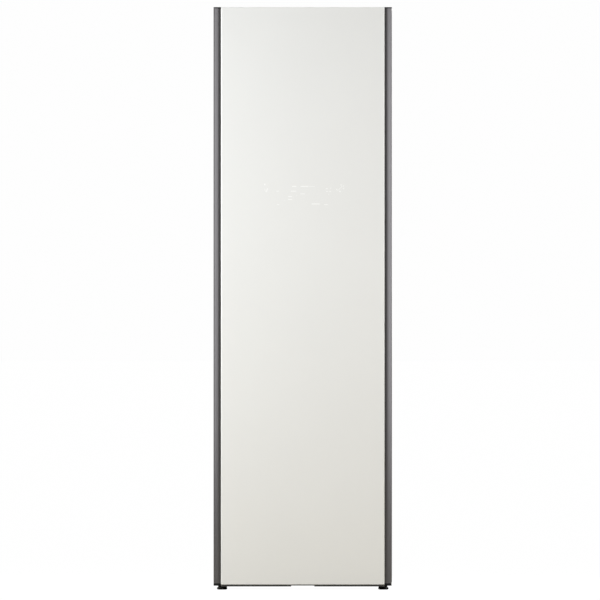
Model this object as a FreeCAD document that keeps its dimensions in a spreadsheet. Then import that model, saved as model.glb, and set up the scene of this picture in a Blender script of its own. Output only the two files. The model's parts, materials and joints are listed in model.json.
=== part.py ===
import FreeCAD, Part

import math
import os
import re

import Sketcher

# Clothes care steam cabinet. Millimetres. X is across, Y runs from the front to the back, Z is up.
# The origin is on the floor under the middle of the cabinet; the door is at the front, at -Y.

# Driving dimensions.
SIZES = {
    # whole cabinet
    "overall_wide": 600,
    "overall_deep": 596,
    "overall_tall": 1960,
    "cabinet_rise": 24,
    "side_inset": 2,
    "sheet_thick": 1.2,
    "base_thick": 1.5,
    "base_flange": 20,
    "side_flange": 16,
    "cover_flange": 14,
    "panel_thick": 3,
    "running_gap": 0.3,
    "overrun": 1,
    "seat_gap": 0.2,
    # door shell
    "door_thick": 60,
    "door_rise": 14,
    "strip_round": 22.5,
    "strip_flat": 2,
    "strip_wall": 2,
    "strip_lip": 12,
    "strip_return": 4,
    "grip_deep": 14,
    "grip_start": 36,
    "glass_thick": 5,
    "glass_rise": 4,
    "bevel_wide": 4.5,
    "bevel_deep": 1.2,
    "cap_top_thick": 4,
    "cap_bottom_thick": 8,
    "cap_plate": 4,
    "cap_skirt": 3,
    "cap_skirt_tall": 16,
    "lip_drop": 2.5,
    "lip_deep": 8,
    "lip_inset": 3.5,
    "notch_wide": 78,
    "notch_bridge": 3.2,
    "liner_thick": 3,
    "foam_clear": 26,
    # raised field of the liner
    "field_side": 26,
    "field_foot": 48,
    "field_head": 32,
    "field_rise": 20,
    # display board
    "board_wide": 270,
    "board_tall": 100,
    "board_thick": 8,
    "board_height": 1275,
    # gasket
    "gasket_space": 12,
    "gasket_wide": 14,
    "gasket_inset": 19,
    "gasket_edge": 9,
    # door hinges
    "hinge_inset": 14,
    "hinge_setback": 36,
    "arm_thick": 5,
    "arm_half": 10,
    "arm_reach": 112,
    "arm_pad_wide": 70,
    "arm_pad_start": 57,
    "roof_gap": 1,
    "pin_radius": 5,
    "pin_long": 20,
    "pin_fit": 0.05,
    "bush_wall": 3,
    "bush_flange": 1.7,
    "bush_rim": 3,
    "bush_tall": 22,
    "pocket_side": 18,
    "pocket_front": 20.5,
    # front frame and chamber
    "frame_thick": 12,
    "wall_wide": 38,
    "back_wall": 43,
    "bay_rise": 26,
    "bay_tall": 200,
    "plenum_tall": 116,
    "drive_space": 103.8,
    "roof_foam": 20,
    "ledge_height": 176,
    "ledge_thick": 4,
    "ledge_wide": 12,
    "ledge_front": 70,
    "ledge_back": 50,
    # tanks
    "tank_wide": 200,
    "tank_deep": 130,
    "tank_tall": 170,
    "tank_space": 24,
    "tank_setback": 30,
    "tank_wall": 2.5,
    "tank_round": 8,
    "tank_side_gap": 6,
    "tank_back_gap": 6,
    "tank_foot": 6,
    "lid_thick": 5,
    "lid_rim": 3,
    "handle_wide": 84,
    "handle_tall": 34,
    "handle_deep": 18,
    "handle_drop": 14,
    # trouser press
    "press_inset": 36,
    "press_off": 10,
    "press_margin": 46,
    "press_thick": 16,
    "press_recess": 4,
    "press_foot": 230,
    "press_head": 92,
    "journal_radius": 4,
    "journal_long": 8,
    "ear_thick": 10,
    "catch_height": 1100,
    "catch_inset": 25,
    "catch_hub": 14,
    "catch_reach": 45,
    "catch_wide": 16,
    "catch_thick": 4,
    "spindle_radius": 3,
    "spindle_long": 8,
    "keeper_gap": 22,
    "keeper_wide": 13,
    "keeper_over": 12,
    "keeper_tall": 24,
    # hem clip
    "clip_half": 150,
    "clip_drop": 106,
    "clip_tall": 42,
    "clip_thick": 5,
    "clip_base": 8,
    "clip_pin": 2.5,
    "clip_ear": 8,
    # shelf
    "shelf_thick": 14,
    "shelf_side_gap": 4,
    "shelf_slot_count": 9,
    "shelf_slot_wide": 10,
    "shelf_slot_long": 260,
    "shelf_bed": 3,
    "shelf_rim": 12,
    # lint filter and aroma case
    "filter_wide": 220,
    "filter_thick": 24,
    "filter_inset": 26,
    "filter_tall": 110,
    "filter_proud": 6,
    "filter_fit": 1,
    "filter_frame": 12,
    "pull_half": 36,
    "pull_deep_half": 8,
    "mesh_thick": 2,
    "well_wall": 2,
    "aroma_wide": 50,
    "aroma_deep": 30,
    "aroma_tall": 46,
    "aroma_side": 87,
    "aroma_proud": 5,
    "cup_wall": 2,
    # chamber outlets
    "outlet_count": 8,
    "outlet_slot": 5,
    "outlet_pitch": 9,
    "outlet_long": 56,
    "lamp_wide": 140,
    "lamp_deep": 30,
    "lamp_inset": 36,
    "lamp_proud": 2.5,
    "lamp_rim": 5,
    # hanger rail and its drive
    "rail_half": 205,
    "rail_wide": 24,
    "rail_drop": 82,
    "rail_thick": 12,
    "hook_tall": 12,
    "hook_pitch": 72,
    "hook_count": 5,
    "hook_gap": 10,
    "stem_place": 108,
    "stem_wide": 16,
    "stem_deep": 12,
    "stem_clear": 3,
    "crank_throw": 25,
    "crank_swing": 60,
    "crank_pin": 4,
    "crank_disc": 32,
    "crank_thick": 5,
    "crank_back": 18,
    "yoke_play": 2,
    "drive_sheet": 3,
    "drive_half": 190,
    "drive_deep": 150,
    "rod_radius": 5,
    "rod_height": 21,
    "rod_spread": 45,
    "rod_overhang": 6,
    "rod_ear_place": 160,
    "rod_ear_thick": 6,
    "rod_ear_wide": 30,
    "slider_place": 62,
    "slider_long": 24,
    "slider_half": 11,
    "carriage_half": 130,
    "carriage_thick": 4,
    "bridge_half": 35,
    "bridge_wall": 3,
    "bridge_rise": 19,
    "motor_radius": 30,
    "motor_tall": 36,
    "shaft_radius": 4,
    # machine bay
    "compressor_side": 106.8,
    "compressor_rear": 98,
    "compressor_radius": 62,
    "compressor_tall": 160,
    "compressor_dome": 22,
    "compressor_plate": 82,
    "mount_tall": 18,
    "mount_radius": 11,
    "mount_circle": 68,
    "mount_count": 3,
    "accumulator_radius": 18,
    "accumulator_away": 46,
    "accumulator_ahead": 88,
    "accumulator_tall": 120,
    "coil_x": 100,
    "coil_half": 80,
    "coil_thick": 50,
    "coil_tall": 96,
    "coil_rise": 6,
    "coil_start": 10,
    "coil_space": 24,
    "tube_inset": 15,
    "tube_rise": 19.2,
    "fin_count": 18,
    "coil_tube": 5,
    "fan_space": 6,
    "fan_wide": 60,
    "fan_wall": 2,
    "scroll_radius": 70,
    "duct_half": 38.5,
    "wheel_radius": 58,
    "wheel_wide": 48,
    "blade_count": 24,
    "blade_thick": 2,
    "blade_deep": 12,
    "blade_inset": 0.5,
    "wheel_hub_long": 16,
    "wheel_hub_radius": 10,
    "fan_shaft": 4,
    "fan_motor_radius": 34,
    "fan_motor_long": 46,
    "boiler_x": 75,
    "boiler_y": 15,
    "boiler_wide": 130,
    "boiler_leg_inset": 11.3333,
    "boiler_leg_radius": 5.6667,
    "boiler_deep": 80,
    "boiler_tall": 90,
    "boiler_leg": 34,
    "steam_tube": 8,
    "steam_bend": 28,
    "nozzle_y": 205,
    "nozzle_radius": 15,
    "nozzle_tall": 5,
    "pump_wide": 50,
    "pump_deep": 44,
    "pump_tall": 48,
    "pump_motor": 17,
    "pump_motor_long": 34,
    "pump_place": 150,
    "copper_radius": 4,
    "copper_bend": 14,
    "control_wide": 210,
    "control_deep": 150,
    "control_tall": 46,
    "control_place": 60,
    "inlet_side": 66.8,
    "inlet_height": 110,
    "inlet_wide": 26,
    "inlet_tall": 20,
    "inlet_deep": 22,
    "inlet_wall": 2,
    "inlet_rim": 7,
    "louvre_count": 12,
    "louvre_pitch": 16,
    "louvre_tall": 5,
    "louvre_wide": 190,
    "louvre_place": 55,
    "louvre_low": 90,
    # feet and screws
    "foot_inset": 28.5,
    "foot_setback": 98,
    "foot_disc": 17,
    "foot_tall": 9,
    "foot_boss": 11,
    "foot_boss_top": 9.5,
    "foot_boss_tall": 8,
    "stem_radius": 5,
    "sleeve_wall": 4,
    "sleeve_tall": 24,
    "arm_foot_hole": 12.5,
    "rear_foot_radius": 15,
    "rear_foot_inset": 28.5,
    "rear_foot_set": 53,
    "head_radius": 4,
    "head_thick": 1.5,
    "shank_radius": 2,
    "shank_fit": 0.1,
    "shank_long": 7,
    "screw_count": 5,
    "screw_edge": 60,
}

# Places that follow from the driving dimensions.
PLACES = {
    "half_wide": "overall_wide / 2",
    "front_face": "-overall_deep / 2",
    "rear_face": "overall_deep / 2",
    "door_back": "front_face + door_thick",
    "cabinet_front": "door_back + gasket_space",
    "frame_back": "cabinet_front + frame_thick",
    "cabinet_half": "half_wide - side_inset",
    "shell_half": "cabinet_half - sheet_thick",
    "panel_back": "rear_face - head_thick",
    "flange_back": "panel_back - sheet_thick",
    "shell_back": "flange_back - sheet_thick",
    "strip_low": "door_rise + cap_bottom_thick",
    "strip_high": "overall_tall - cap_top_thick",
    "strip_side": "half_wide - strip_wall",
    "strip_turn": "half_wide - strip_round",
    "strip_round_y": "front_face + strip_round",
    "glass_edge": "half_wide - strip_round - strip_flat",
    "glass_back": "front_face + glass_thick",
    "glass_low": "door_rise + glass_rise",
    "grip_side": "half_wide - grip_deep",
    "grip_front": "front_face + grip_start",
    "foam_half": "grip_side - strip_wall - foam_clear",
    "foot_place": "half_wide - foot_inset",
    "rear_foot_x": "half_wide - rear_foot_inset",
    "rear_foot_y": "rear_face - rear_foot_set",
    "cabinet_high": "strip_high - roof_gap - arm_thick",
    "cover_low": "cabinet_high - sheet_thick",
    "base_top": "cabinet_rise + base_thick",
    "door_floor": "cabinet_rise + running_gap + bush_flange",
    "door_roof": "cabinet_high - running_gap - bush_flange",
    "hinge_x": "half_wide - hinge_inset",
    "hinge_y": "front_face + hinge_setback",
    "pocket_x": "hinge_x - pocket_side",
    "pocket_y": "hinge_y - pocket_front",
    "liner_front": "door_back - liner_thick",
    "field_face": "door_back + field_rise",
    "chamber_half": "half_wide - wall_wide",
    "chamber_back": "rear_face - back_wall",
    "bay_floor": "cabinet_rise + bay_rise",
    "bay_roof": "bay_floor + bay_tall",
    "plenum_low": "bay_roof + panel_thick",
    "plenum_high": "plenum_low + plenum_tall",
    "chamber_low": "plenum_high + panel_thick",
    "foam_high": "cover_low - drive_space",
    "chamber_high": "foam_high - roof_foam - panel_thick",
    "aroma_place": "chamber_half - aroma_side",
    "field_half": "chamber_half - field_side",
    "field_low": "chamber_low + field_foot",
    "field_high": "chamber_high - field_head",
    "clip_height": "field_high - clip_drop",
    "press_axis": "field_half - press_inset",
    "press_low": "field_low + press_foot",
    "press_tall": "clip_height - clip_tall - press_head - press_low",
    "compressor_x": "shell_half - compressor_side",
    "inlet_x": "shell_half - inlet_side",
    "compressor_y": "rear_face - compressor_rear",
    "accumulator_x": "compressor_x + accumulator_away",
    "accumulator_y": "compressor_y - accumulator_ahead",
    "bay_half": "tank_space / 2 + tank_wide + tank_side_gap",
    "tank_front": "cabinet_front + tank_setback",
    "tank_back": "tank_front + tank_deep",
    "bay_back": "tank_back + tank_back_gap",
    "bay_rear": "bay_back + panel_thick",
    "tank_low": "bay_floor + running_gap + tank_foot",
    "tank_high": "tank_low + tank_tall",
    "press_y": "field_face + press_off",
    "press_high": "press_low + press_tall",
    "press_front": "press_y - press_thick / 2",
    "press_face": "press_y + press_thick / 2",
    "press_edge": "-(field_half - press_margin)",
    "catch_x": "press_edge + catch_inset",
    "clip_y": "field_face + clip_base + running_gap + clip_thick / 2",
    "ledge_top": "chamber_low + ledge_height",
    "shelf_low": "ledge_top + running_gap",
    "shelf_half": "chamber_half - shelf_side_gap",
    "shelf_front": "frame_back + ledge_front",
    "shelf_rear": "chamber_back - ledge_back",
    "filter_y": "cabinet_front + filter_inset",
    "filter_high": "chamber_low + filter_proud",
    "filter_low": "filter_high - filter_tall",
    "rail_y": "(cabinet_front + chamber_back) / 2",
    "rail_low": "chamber_high - rail_drop",
    "hook_low": "rail_low + rail_thick",
    "hook_high": "hook_low + hook_tall",
    "throw_reach": "crank_throw * sin(crank_swing * 1 deg)",
    "drive_top": "foam_high + drive_sheet",
    "rod_z": "foam_high + rod_height",
    "slider_low": "rod_z - slider_half",
    "slider_high": "rod_z + slider_half",
    "carriage_high": "slider_high + carriage_thick",
    "crank_y": "rail_y - crank_back",
    "crank_low": "carriage_high + yoke_play * 2",
    "crank_high": "crank_low + crank_thick",
    "bridge_high": "carriage_high + bridge_rise + bridge_wall",
    "slot_x_half": "stem_wide / 2 + throw_reach + stem_clear",
    "slot_y_half": "stem_deep / 2 + stem_clear",
    "coil_low": "plenum_low + coil_rise",
    "coil_high": "coil_low + coil_tall",
    "coil_mid": "(coil_low + coil_high) / 2",
    "evaporator_y": "bay_rear + coil_start",
    "condenser_y": "evaporator_y + coil_thick + coil_space",
    "scroll_y": "condenser_y + coil_thick + fan_space",
    "scroll_rear": "scroll_y + fan_wide",
    "fan_z": "plenum_high - scroll_radius - fan_wall - running_gap",
    "wheel_y": "scroll_y + (fan_wide - wheel_wide) / 2",
    "mount_high": "base_top + mount_tall",
    "shell_low": "mount_high + base_thick * 2",
    "shell_high": "shell_low + compressor_tall",
    "boiler_low": "base_top + boiler_leg",
    "boiler_high": "boiler_low + boiler_tall",
    "foot_y": "front_face + foot_setback",
}

doc = FreeCAD.newDocument("steam_cabinet")
# Lengths closer than this, in millimetres, count as equal.
TOUCH = 0.001

SHEET_OF = {}


def fill_sheet(name, cells):
    """Write one row per value: its name beside it, and the name as the cell's alias."""
    sheet = doc.addObject("Spreadsheet::Sheet", name)
    for row, (alias, content) in enumerate(cells.items(), start=1):
        SHEET_OF[alias] = name
        sheet.set(f"A{row}", alias)
        sheet.set(f"B{row}", str(content))
        sheet.setAlias(f"B{row}", alias)
    return sheet


def qualified(text):
    """The formula with the sheet's name written before each of its values."""
    return re.sub(
        r"[a-z][a-z_0-9]*",
        lambda word: f"{SHEET_OF[word.group()]}.{word.group()}" if word.group() in SHEET_OF else word.group(),
        str(text),
    )


sizes_sheet = fill_sheet("Sizes", SIZES)
places_sheet = fill_sheet("Places", {alias: "" for alias in PLACES})
for line, (alias, formula) in enumerate(PLACES.items(), start=1):
    places_sheet.set(f"B{line}", "=" + qualified(formula).replace("Places.", ""))
    places_sheet.setAlias(f"B{line}", alias)
doc.recompute()


def number(text):
    """What a formula comes to, in millimetres or degrees."""
    return float(sizes_sheet.evalExpression(qualified(text)))


def bind(item, field, text):
    item.setExpression(field, qualified(text))


def minus(text):
    return f"-({text})"


def across(side, near, far):
    """The X span from near to far of the middle line, on the left (-1) or the right (+1)."""
    return (near, far) if side > 0 else (minus(far), minus(near))


def about(middle, half):
    """The span that reaches half to each side of its middle."""
    return (f"({middle}) - ({half})", f"({middle}) + ({half})")


def wide(half):
    return (minus(half), half)


# ---- solids bound to the sheet ----

TURN = {
    "x": FreeCAD.Rotation(FreeCAD.Vector(0, 1, 0), 90),
    "y": FreeCAD.Rotation(FreeCAD.Vector(1, 0, 0), -90),
    "z": FreeCAD.Rotation(),
}


def block(x, y, z):
    """A box from the low to the high place along each axis."""
    solid = doc.addObject("Part::Box", "Block")
    for side, axis, (low, high) in zip(("Length", "Width", "Height"), "xyz", (x, y, z)):
        bind(solid, f"Placement.Base.{axis}", low)
        bind(solid, side, f"({high}) - ({low})")
    return solid


def rod(axis, middle, radius, span):
    """A round bar along one axis; middle holds its places on the two other axes, in X, Y, Z order."""
    solid = doc.addObject("Part::Cylinder", "Rod")
    solid.Placement = FreeCAD.Placement(FreeCAD.Vector(), TURN[axis])
    for other, place in zip([a for a in "xyz" if a != axis], middle):
        bind(solid, f"Placement.Base.{other}", place)
    bind(solid, f"Placement.Base.{axis}", span[0])
    bind(solid, "Radius", radius)
    bind(solid, "Height", f"({span[1]}) - ({span[0]})")
    return solid


def join(*pieces):
    if len(pieces) == 1:
        return pieces[0]
    whole = doc.addObject("Part::MultiFuse", "Join")
    whole.Shapes = list(pieces)
    whole.Refine = True
    return whole


def cut(base, *tools):
    result = doc.addObject("Part::Cut", "Cut")
    result.Base = base
    result.Tool = join(*tools)
    return result


def overlap(*pieces):
    result = doc.addObject("Part::MultiCommon", "Common")
    result.Shapes = list(pieces)
    return result


def group(*pieces):
    """Separate solids that share one node."""
    bundle = doc.addObject("Part::Compound", "Group")
    bundle.Links = list(pieces)
    return bundle


def ring(x, y, z, opening_x, opening_z):
    """A flat frame that faces the front: a block with a window right through it."""
    return cut(block(x, y, z), block(opening_x, (f"{y[0]} - 1", f"{y[1]} + 1"), opening_z))


# ---- sketches and PartDesign bodies ----

def arc_points(start, end, radius, turn):
    """Centre of the short arc between two points, to the left of its chord when turn is +1."""
    chord = end.sub(start)
    rise = math.sqrt(max(radius**2 - (chord.Length / 2) ** 2, 0))
    left = FreeCAD.Vector(-chord.y, chord.x, 0).normalize()
    return start.add(end).multiply(0.5).add(left.multiply(rise * turn))


def draw(sketch, outline):
    """Close an outline of straight runs and arcs, and tie every corner to the sheet.

    A corner is (x, y), reached by a straight run, or (x, y, radius, turn), reached by an arc."""
    spots = [FreeCAD.Vector(number(corner[0]), number(corner[1]), 0) for corner in outline]
    runs = []
    for index, corner in enumerate(outline):
        start = spots[index - 1]
        end = spots[index]
        if len(corner) == 2:
            runs.append((sketch.addGeometry(Part.LineSegment(start, end), False), 1, 2))
            continue
        radius = number(corner[2])
        turn = corner[3]
        middle = arc_points(start, end, radius, turn)
        first, last = (start, end) if turn > 0 else (end, start)
        angles = [math.atan2(spot.y - middle.y, spot.x - middle.x) for spot in (first, last)]
        circle = Part.Circle(middle, FreeCAD.Vector(0, 0, 1), radius)
        arc = sketch.addGeometry(Part.ArcOfCircle(circle, angles[0], angles[1]), False)
        runs.append((arc, 1, 2) if turn > 0 else (arc, 2, 1))
        chord = end.sub(start)
        if chord.Length < 2 * radius - TOUCH:
            tie(sketch, "Radius", corner[2], arc)
        elif abs(chord.x) > abs(chord.y):
            tie(sketch, "DistanceY", f"(({outline[index - 1][1]}) + ({corner[1]})) / 2", arc, 3)
        else:
            tie(sketch, "DistanceX", f"(({outline[index - 1][0]}) + ({corner[0]})) / 2", arc, 3)
    for index, (run, _, finish) in enumerate(runs):
        following, begin, _ = runs[(index + 1) % len(runs)]
        sketch.addConstraint(Sketcher.Constraint("Coincident", run, finish, following, begin))
        tie(sketch, "DistanceX", outline[index][0], run, finish)
        tie(sketch, "DistanceY", outline[index][1], run, finish)


def tie(sketch, kind, text, *geometry):
    """Add one dimension and bind it to its formula."""
    index = sketch.addConstraint(Sketcher.Constraint(kind, *geometry, number(text)))
    bind(sketch, f"Constraints[{index}]", text)


def draw_circle(sketch, x, y, radius):
    spot = FreeCAD.Vector(number(x), number(y), 0)
    circle = sketch.addGeometry(Part.Circle(spot, FreeCAD.Vector(0, 0, 1), number(radius)), False)
    tie(sketch, "Radius", radius, circle)
    tie(sketch, "DistanceX", x, circle, 3)
    tie(sketch, "DistanceY", y, circle, 3)


PLANES = {"z": "XY_Plane", "y": "XZ_Plane", "x": "YZ_Plane"}


def sketch_on(body, axis, place, outlines=(), circles=()):
    """A sketch across one axis of the body, at a place along that axis."""
    sketch = body.newObject("Sketcher::SketchObject", "Outline")
    plane = next(f for f in body.Origin.OriginFeatures if f.Role == PLANES[axis])
    sketch.AttachmentSupport = [(plane, "")]
    sketch.MapMode = "FlatFace"
    bind(sketch, "AttachmentOffset.Base.z", minus(place) if axis == "y" else place)
    for outline in outlines:
        draw(sketch, outline)
    for circle in circles:
        draw_circle(sketch, *circle)
    return sketch


def pad(axis, span, outlines, circles=(), body=None):
    """Extrude closed outlines along one axis, from the low to the high place of the span."""
    body = body or doc.addObject("PartDesign::Body", "Body")
    base = span[1] if axis == "y" else span[0]
    feature = body.newObject("PartDesign::Pad", "Pad")
    feature.Profile = sketch_on(body, axis, base, outlines, circles)
    bind(feature, "Length", f"({span[1]}) - ({span[0]})")
    body.Tip = feature
    return body


def pocket(body, axis, span, outlines, circles=()):
    """Cut closed outlines out of a body along one axis, between two places."""
    start = span[0] if axis == "y" else span[1]
    feature = body.newObject("PartDesign::Pocket", "Pocket")
    feature.Profile = sketch_on(body, axis, start, outlines, circles)
    bind(feature, "Length", f"({span[1]}) - ({span[0]})")
    body.Tip = feature
    return feature


def row_pattern(body, feature, axis, count, length):
    """Repeat a feature along one of the body's axes."""
    pattern = body.newObject("PartDesign::LinearPattern", "Row")
    pattern.Originals = [feature]
    pattern.Direction = (next(f for f in body.Origin.OriginFeatures if f.Role == f"{axis.upper()}_Axis"),
            [""])
    bind(pattern, "Length", length)
    pattern.Occurrences = int(number(count))
    body.Tip = pattern


def turned(outline, x, y, z):
    """Revolve an outline of (distance from the axis, height) about a vertical axis through x, y."""
    body = doc.addObject("PartDesign::Body", "Turned")
    feature = body.newObject("PartDesign::Revolution", "Revolution")
    sketch = sketch_on(body, "y", "0", [outline])
    feature.Profile = sketch
    feature.ReferenceAxis = (sketch, ["V_Axis"])
    feature.Angle = 360
    body.Tip = feature
    for axis, place in zip("xyz", (x, y, z)):
        bind(body, f"Placement.Base.{axis}", place)
    return body


def rectangle(x, y):
    return [(x[0], y[0]), (x[1], y[0]), (x[1], y[1]), (x[0], y[1])]


def tube(points, radius, bend, bore=None):
    """A round tube along straight runs joined by tangent arcs; places are formulas."""
    spots = [FreeCAD.Vector(*[number(place) for place in point]) for point in points]
    turn = number(bend)
    edges = []
    here = spots[0]
    for before, corner, after in zip(spots, spots[1:], spots[2:]):
        entry = before.sub(corner).normalize()
        leave = after.sub(corner).normalize()
        reach = turn / math.tan(entry.getAngle(leave) / 2)
        middle = entry.add(leave).normalize()
        hub = corner.add(FreeCAD.Vector(middle).multiply(turn / math.sin(entry.getAngle(leave) / 2)))
        start = corner.add(entry.multiply(reach))
        end = corner.add(leave.multiply(reach))
        edges.append(Part.LineSegment(here, start).toShape())
        edges.append(Part.Arc(start, hub.sub(middle.multiply(turn)), end).toShape())
        here = end
    edges.append(Part.LineSegment(here, spots[-1]).toShape())
    path = Part.Wire(edges)
    heading = spots[1].sub(spots[0])

    def sweep(size):
        ends = Part.Wire([Part.Circle(spots[0], heading, number(size)).toShape()])
        return path.makePipeShell([ends], True, True)

    shape = sweep(radius)
    if bore:
        shape = shape.cut(sweep(bore))
    feature = doc.addObject("Part::Feature", "Tube")
    feature.Shape = shape
    feature.Placement = FreeCAD.Placement()
    return feature


NODES = []


def keep(label, solid):
    """Name a finished piece; its label names its file."""
    solid.Label = label
    NODES.append(solid)
    return solid


# ---- door shell ----

def strip_outline(side):
    """Section of a side strip: glass seat, quarter round, side wall and a return at the back.

    The left strip turns inwards behind its round, where the grip channel carries on."""
    wall = "strip_wall"
    rows = [
        ("glass_edge", "front_face"),
        ("strip_turn", "front_face"),
        ("half_wide", "strip_round_y", "strip_round", side),
    ]
    if side > 0:
        rows += [
            ("half_wide", "door_back"),
            ("half_wide - strip_return", "door_back"),
            ("half_wide - strip_return", f"door_back - {wall}"),
            ("strip_side", f"door_back - {wall}"),
        ]
    else:
        rows += [
            ("half_wide", "grip_front"),
            (f"grip_side - {wall}", "grip_front"),
            (f"grip_side - {wall}", f"grip_front - {wall}"),
            ("strip_side", f"grip_front - {wall}"),
        ]
    rows += [
        ("strip_side", "strip_round_y"),
        ("strip_turn", f"front_face + {wall}", f"strip_round - {wall}", -side),
        ("strip_turn", f"glass_back + {wall}"),
        ("glass_edge - strip_lip", f"glass_back + {wall}"),
        ("glass_edge - strip_lip", "glass_back"),
        ("glass_edge", "glass_back"),
    ]
    if side > 0:
        return rows
    return [(minus(row[0]),) + tuple(row[1:]) for row in rows]


def door_strip(side):
    strip = pad("z", ("strip_low", "strip_high"), [strip_outline(side)])
    if side < 0:
        return strip
    beyond = ("pocket_x", "half_wide + overrun")
    behind = ("pocket_y", "door_back + overrun")
    return cut(
        strip,
        block(beyond, behind, ("door_roof", "strip_high + overrun")),
        block(beyond, behind, ("strip_low - overrun", "door_floor")),
    )


def grip_channel():
    """Moulded channel behind the left strip's round, which leaves the fingers room to pull the door."""
    wall = "strip_wall"
    rows = [
        ("grip_side", "grip_front"),
        ("grip_side", "door_back"),
        ("grip_side - strip_return", "door_back"),
        ("grip_side - strip_return", f"door_back - {wall}"),
        (f"grip_side - {wall}", f"door_back - {wall}"),
        (f"grip_side - {wall}", "grip_front"),
    ]
    return pad("z", ("strip_low", "strip_high"), [[(minus(x), y) for x, y in rows]])


def outer_outline(left_side):
    """Plan of the door at its ends, with the glass edge left open at the front."""
    return [
        ("glass_edge", "glass_back"),
        ("glass_edge", "front_face"),
        ("strip_turn", "front_face"),
        ("half_wide", "strip_round_y", "strip_round", 1),
        ("half_wide", "door_back"),
        (minus(left_side), "door_back"),
        (minus(left_side), "grip_front"),
        (minus("half_wide"), "grip_front"),
        (minus("half_wide"), "strip_round_y"),
        (minus("strip_turn"), "front_face", "strip_round", 1),
        (minus("glass_edge"), "front_face"),
        (minus("glass_edge"), "glass_back"),
    ]


def inner_outline(slack):
    """Plan of the space inside the strips, a little smaller all round."""
    side = f"strip_side - {slack}"
    bend = f"strip_round - strip_wall - {slack}"
    step = f"grip_side - strip_wall - {slack}"
    front = f"front_face + strip_wall + {slack}"
    seat = f"glass_back + strip_wall + {slack}"
    land = f"strip_turn + {slack}"
    curve_y = f"strip_round_y - sqrt(({bend})^2 - ({slack})^2)"
    rear = f"liner_front - {slack}"
    grip = f"grip_front - strip_wall - {slack}"
    return [
        (land, seat),
        (land, curve_y),
        (side, "strip_round_y", bend, 1),
        (side, rear),
        (minus(step), rear),
        (minus(step), grip),
        (minus(side), grip),
        (minus(side), "strip_round_y"),
        (minus(land), curve_y, bend, 1),
        (minus(land), seat),
    ]


def hinge_block(low, high):
    """The solid corner of a door cap that holds a hinge bush, inside the strip's round."""
    corner = block(("pocket_x - cap_skirt * 2", "half_wide"), ("pocket_y - seat_gap", "door_back"), (low,
            high))
    return overlap(corner, pad("z", (low, high), [inner_outline("seat_gap")]))


def bush_bore(span):
    return rod("z", ("hinge_x", "hinge_y"), "pin_radius + pin_fit + bush_wall", span)


def door_top_cap():
    plate = pad("z", ("strip_high", "overall_tall"), [outer_outline("grip_side")])
    inner = ("glass_edge - strip_lip - cap_skirt", "strip_high - cap_skirt_tall")
    skirt = cut(
        block(wide(inner[0]), ("glass_back + seat_gap + strip_wall", "liner_front - seat_gap"), (inner[1],
                "strip_high")),
        block(
            wide(f"{inner[0]} - cap_skirt"),
            ("glass_back + strip_wall + seat_gap + cap_skirt", "liner_front - seat_gap - cap_skirt"),
            (f"{inner[1]} - overrun", "strip_high"),
        ),
    )
    post = block(
        ("pocket_x - cap_skirt * 2", "pocket_x"),
        ("pocket_y - seat_gap", "liner_front - seat_gap"),
        ("door_roof", "strip_high"),
    )
    pocket_space = block(("pocket_x", "half_wide + overrun"), ("pocket_y", "door_back + overrun"),
            ("door_roof",
            "strip_high"))
    holder = hinge_block("door_roof - bush_tall", "door_roof")
    body = join(plate, cut(skirt, pocket_space), post, holder)
    return cut(body, bush_bore(("door_roof - bush_tall - overrun", "door_roof + overrun")))


def door_bottom_cap():
    tray = pad("z", ("door_floor", "door_floor + cap_plate"), [inner_outline("seat_gap")])
    ends = pad("z", ("door_rise", "strip_low"), [outer_outline("grip_side")])
    inside = pad("z", ("strip_low", "door_floor"), [inner_outline("seat_gap")])
    sides = [block(across(side, "glass_edge", "half_wide + overrun"), ("front_face - overrun",
            "door_back + overrun"),
                   ("door_rise - overrun", "door_floor + overrun")) for side in (-1, 1)]
    feet = overlap(join(ends, inside), join(*sides))
    swing = block(("pocket_x", "half_wide + overrun"), ("pocket_y", "door_back + overrun"),
            ("door_rise - overrun",
            "door_floor"))
    lip_half = "glass_edge - lip_inset"
    lip = cut(
        block(wide(lip_half), ("front_face", "front_face + lip_deep"), ("door_rise - lip_drop",
                "glass_low - seat_gap")),
        block(wide("notch_wide / 2"), ("front_face - overrun", "front_face + lip_deep + overrun"),
              ("door_rise - lip_drop - overrun", "glass_low - seat_gap - notch_bridge")),
    )
    web = block(wide("glass_edge - strip_lip - seat_gap"), ("glass_back + seat_gap", "front_face + lip_deep"),
                ("glass_low - seat_gap - notch_bridge", "door_floor + cap_plate"))
    holder = hinge_block("door_floor", "door_floor + bush_tall")
    body = join(tray, cut(feet, swing), lip, web, holder)
    return cut(body, bush_bore(("door_floor - overrun", "door_floor + bush_tall + overrun")))


def door_glass():
    """The glass sheet, with a polished bevel along its sides and foot."""
    body = doc.addObject("PartDesign::Body", "Glass")
    half = "glass_edge - seat_gap"
    inner = f"{half} - bevel_wide"
    pad("y", ("front_face + bevel_deep", "glass_back"),
            [rectangle(wide(half), ("glass_low", "overall_tall"))], body=body)
    face = body.newObject("PartDesign::AdditiveLoft", "Bevel")
    wide_edge = sketch_on(body, "y", "front_face + bevel_deep",
            [rectangle(wide(half), ("glass_low", "overall_tall"))])
    field = sketch_on(body, "y", "front_face",
            [rectangle(wide(inner), ("glass_low + bevel_wide", "overall_tall - bevel_deep"))])
    face.Profile = wide_edge
    face.Sections = [field]
    body.Tip = face
    return body


def display_place(slack="0"):
    return block(
        wide(f"board_wide / 2 + {slack}"),
        ("glass_back + seat_gap", f"glass_back + seat_gap + board_thick + {slack}"),
        (f"board_height - {slack}", f"board_height + board_tall + {slack}"),
    )


def door_foam():
    slab = block(wide("foam_half"), ("front_face + lip_deep + seat_gap", "liner_front - seat_gap"),
                 ("door_floor + cap_plate + seat_gap", "strip_high - cap_skirt_tall - seat_gap"))
    return cut(slab, display_place("seat_gap"))


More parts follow.
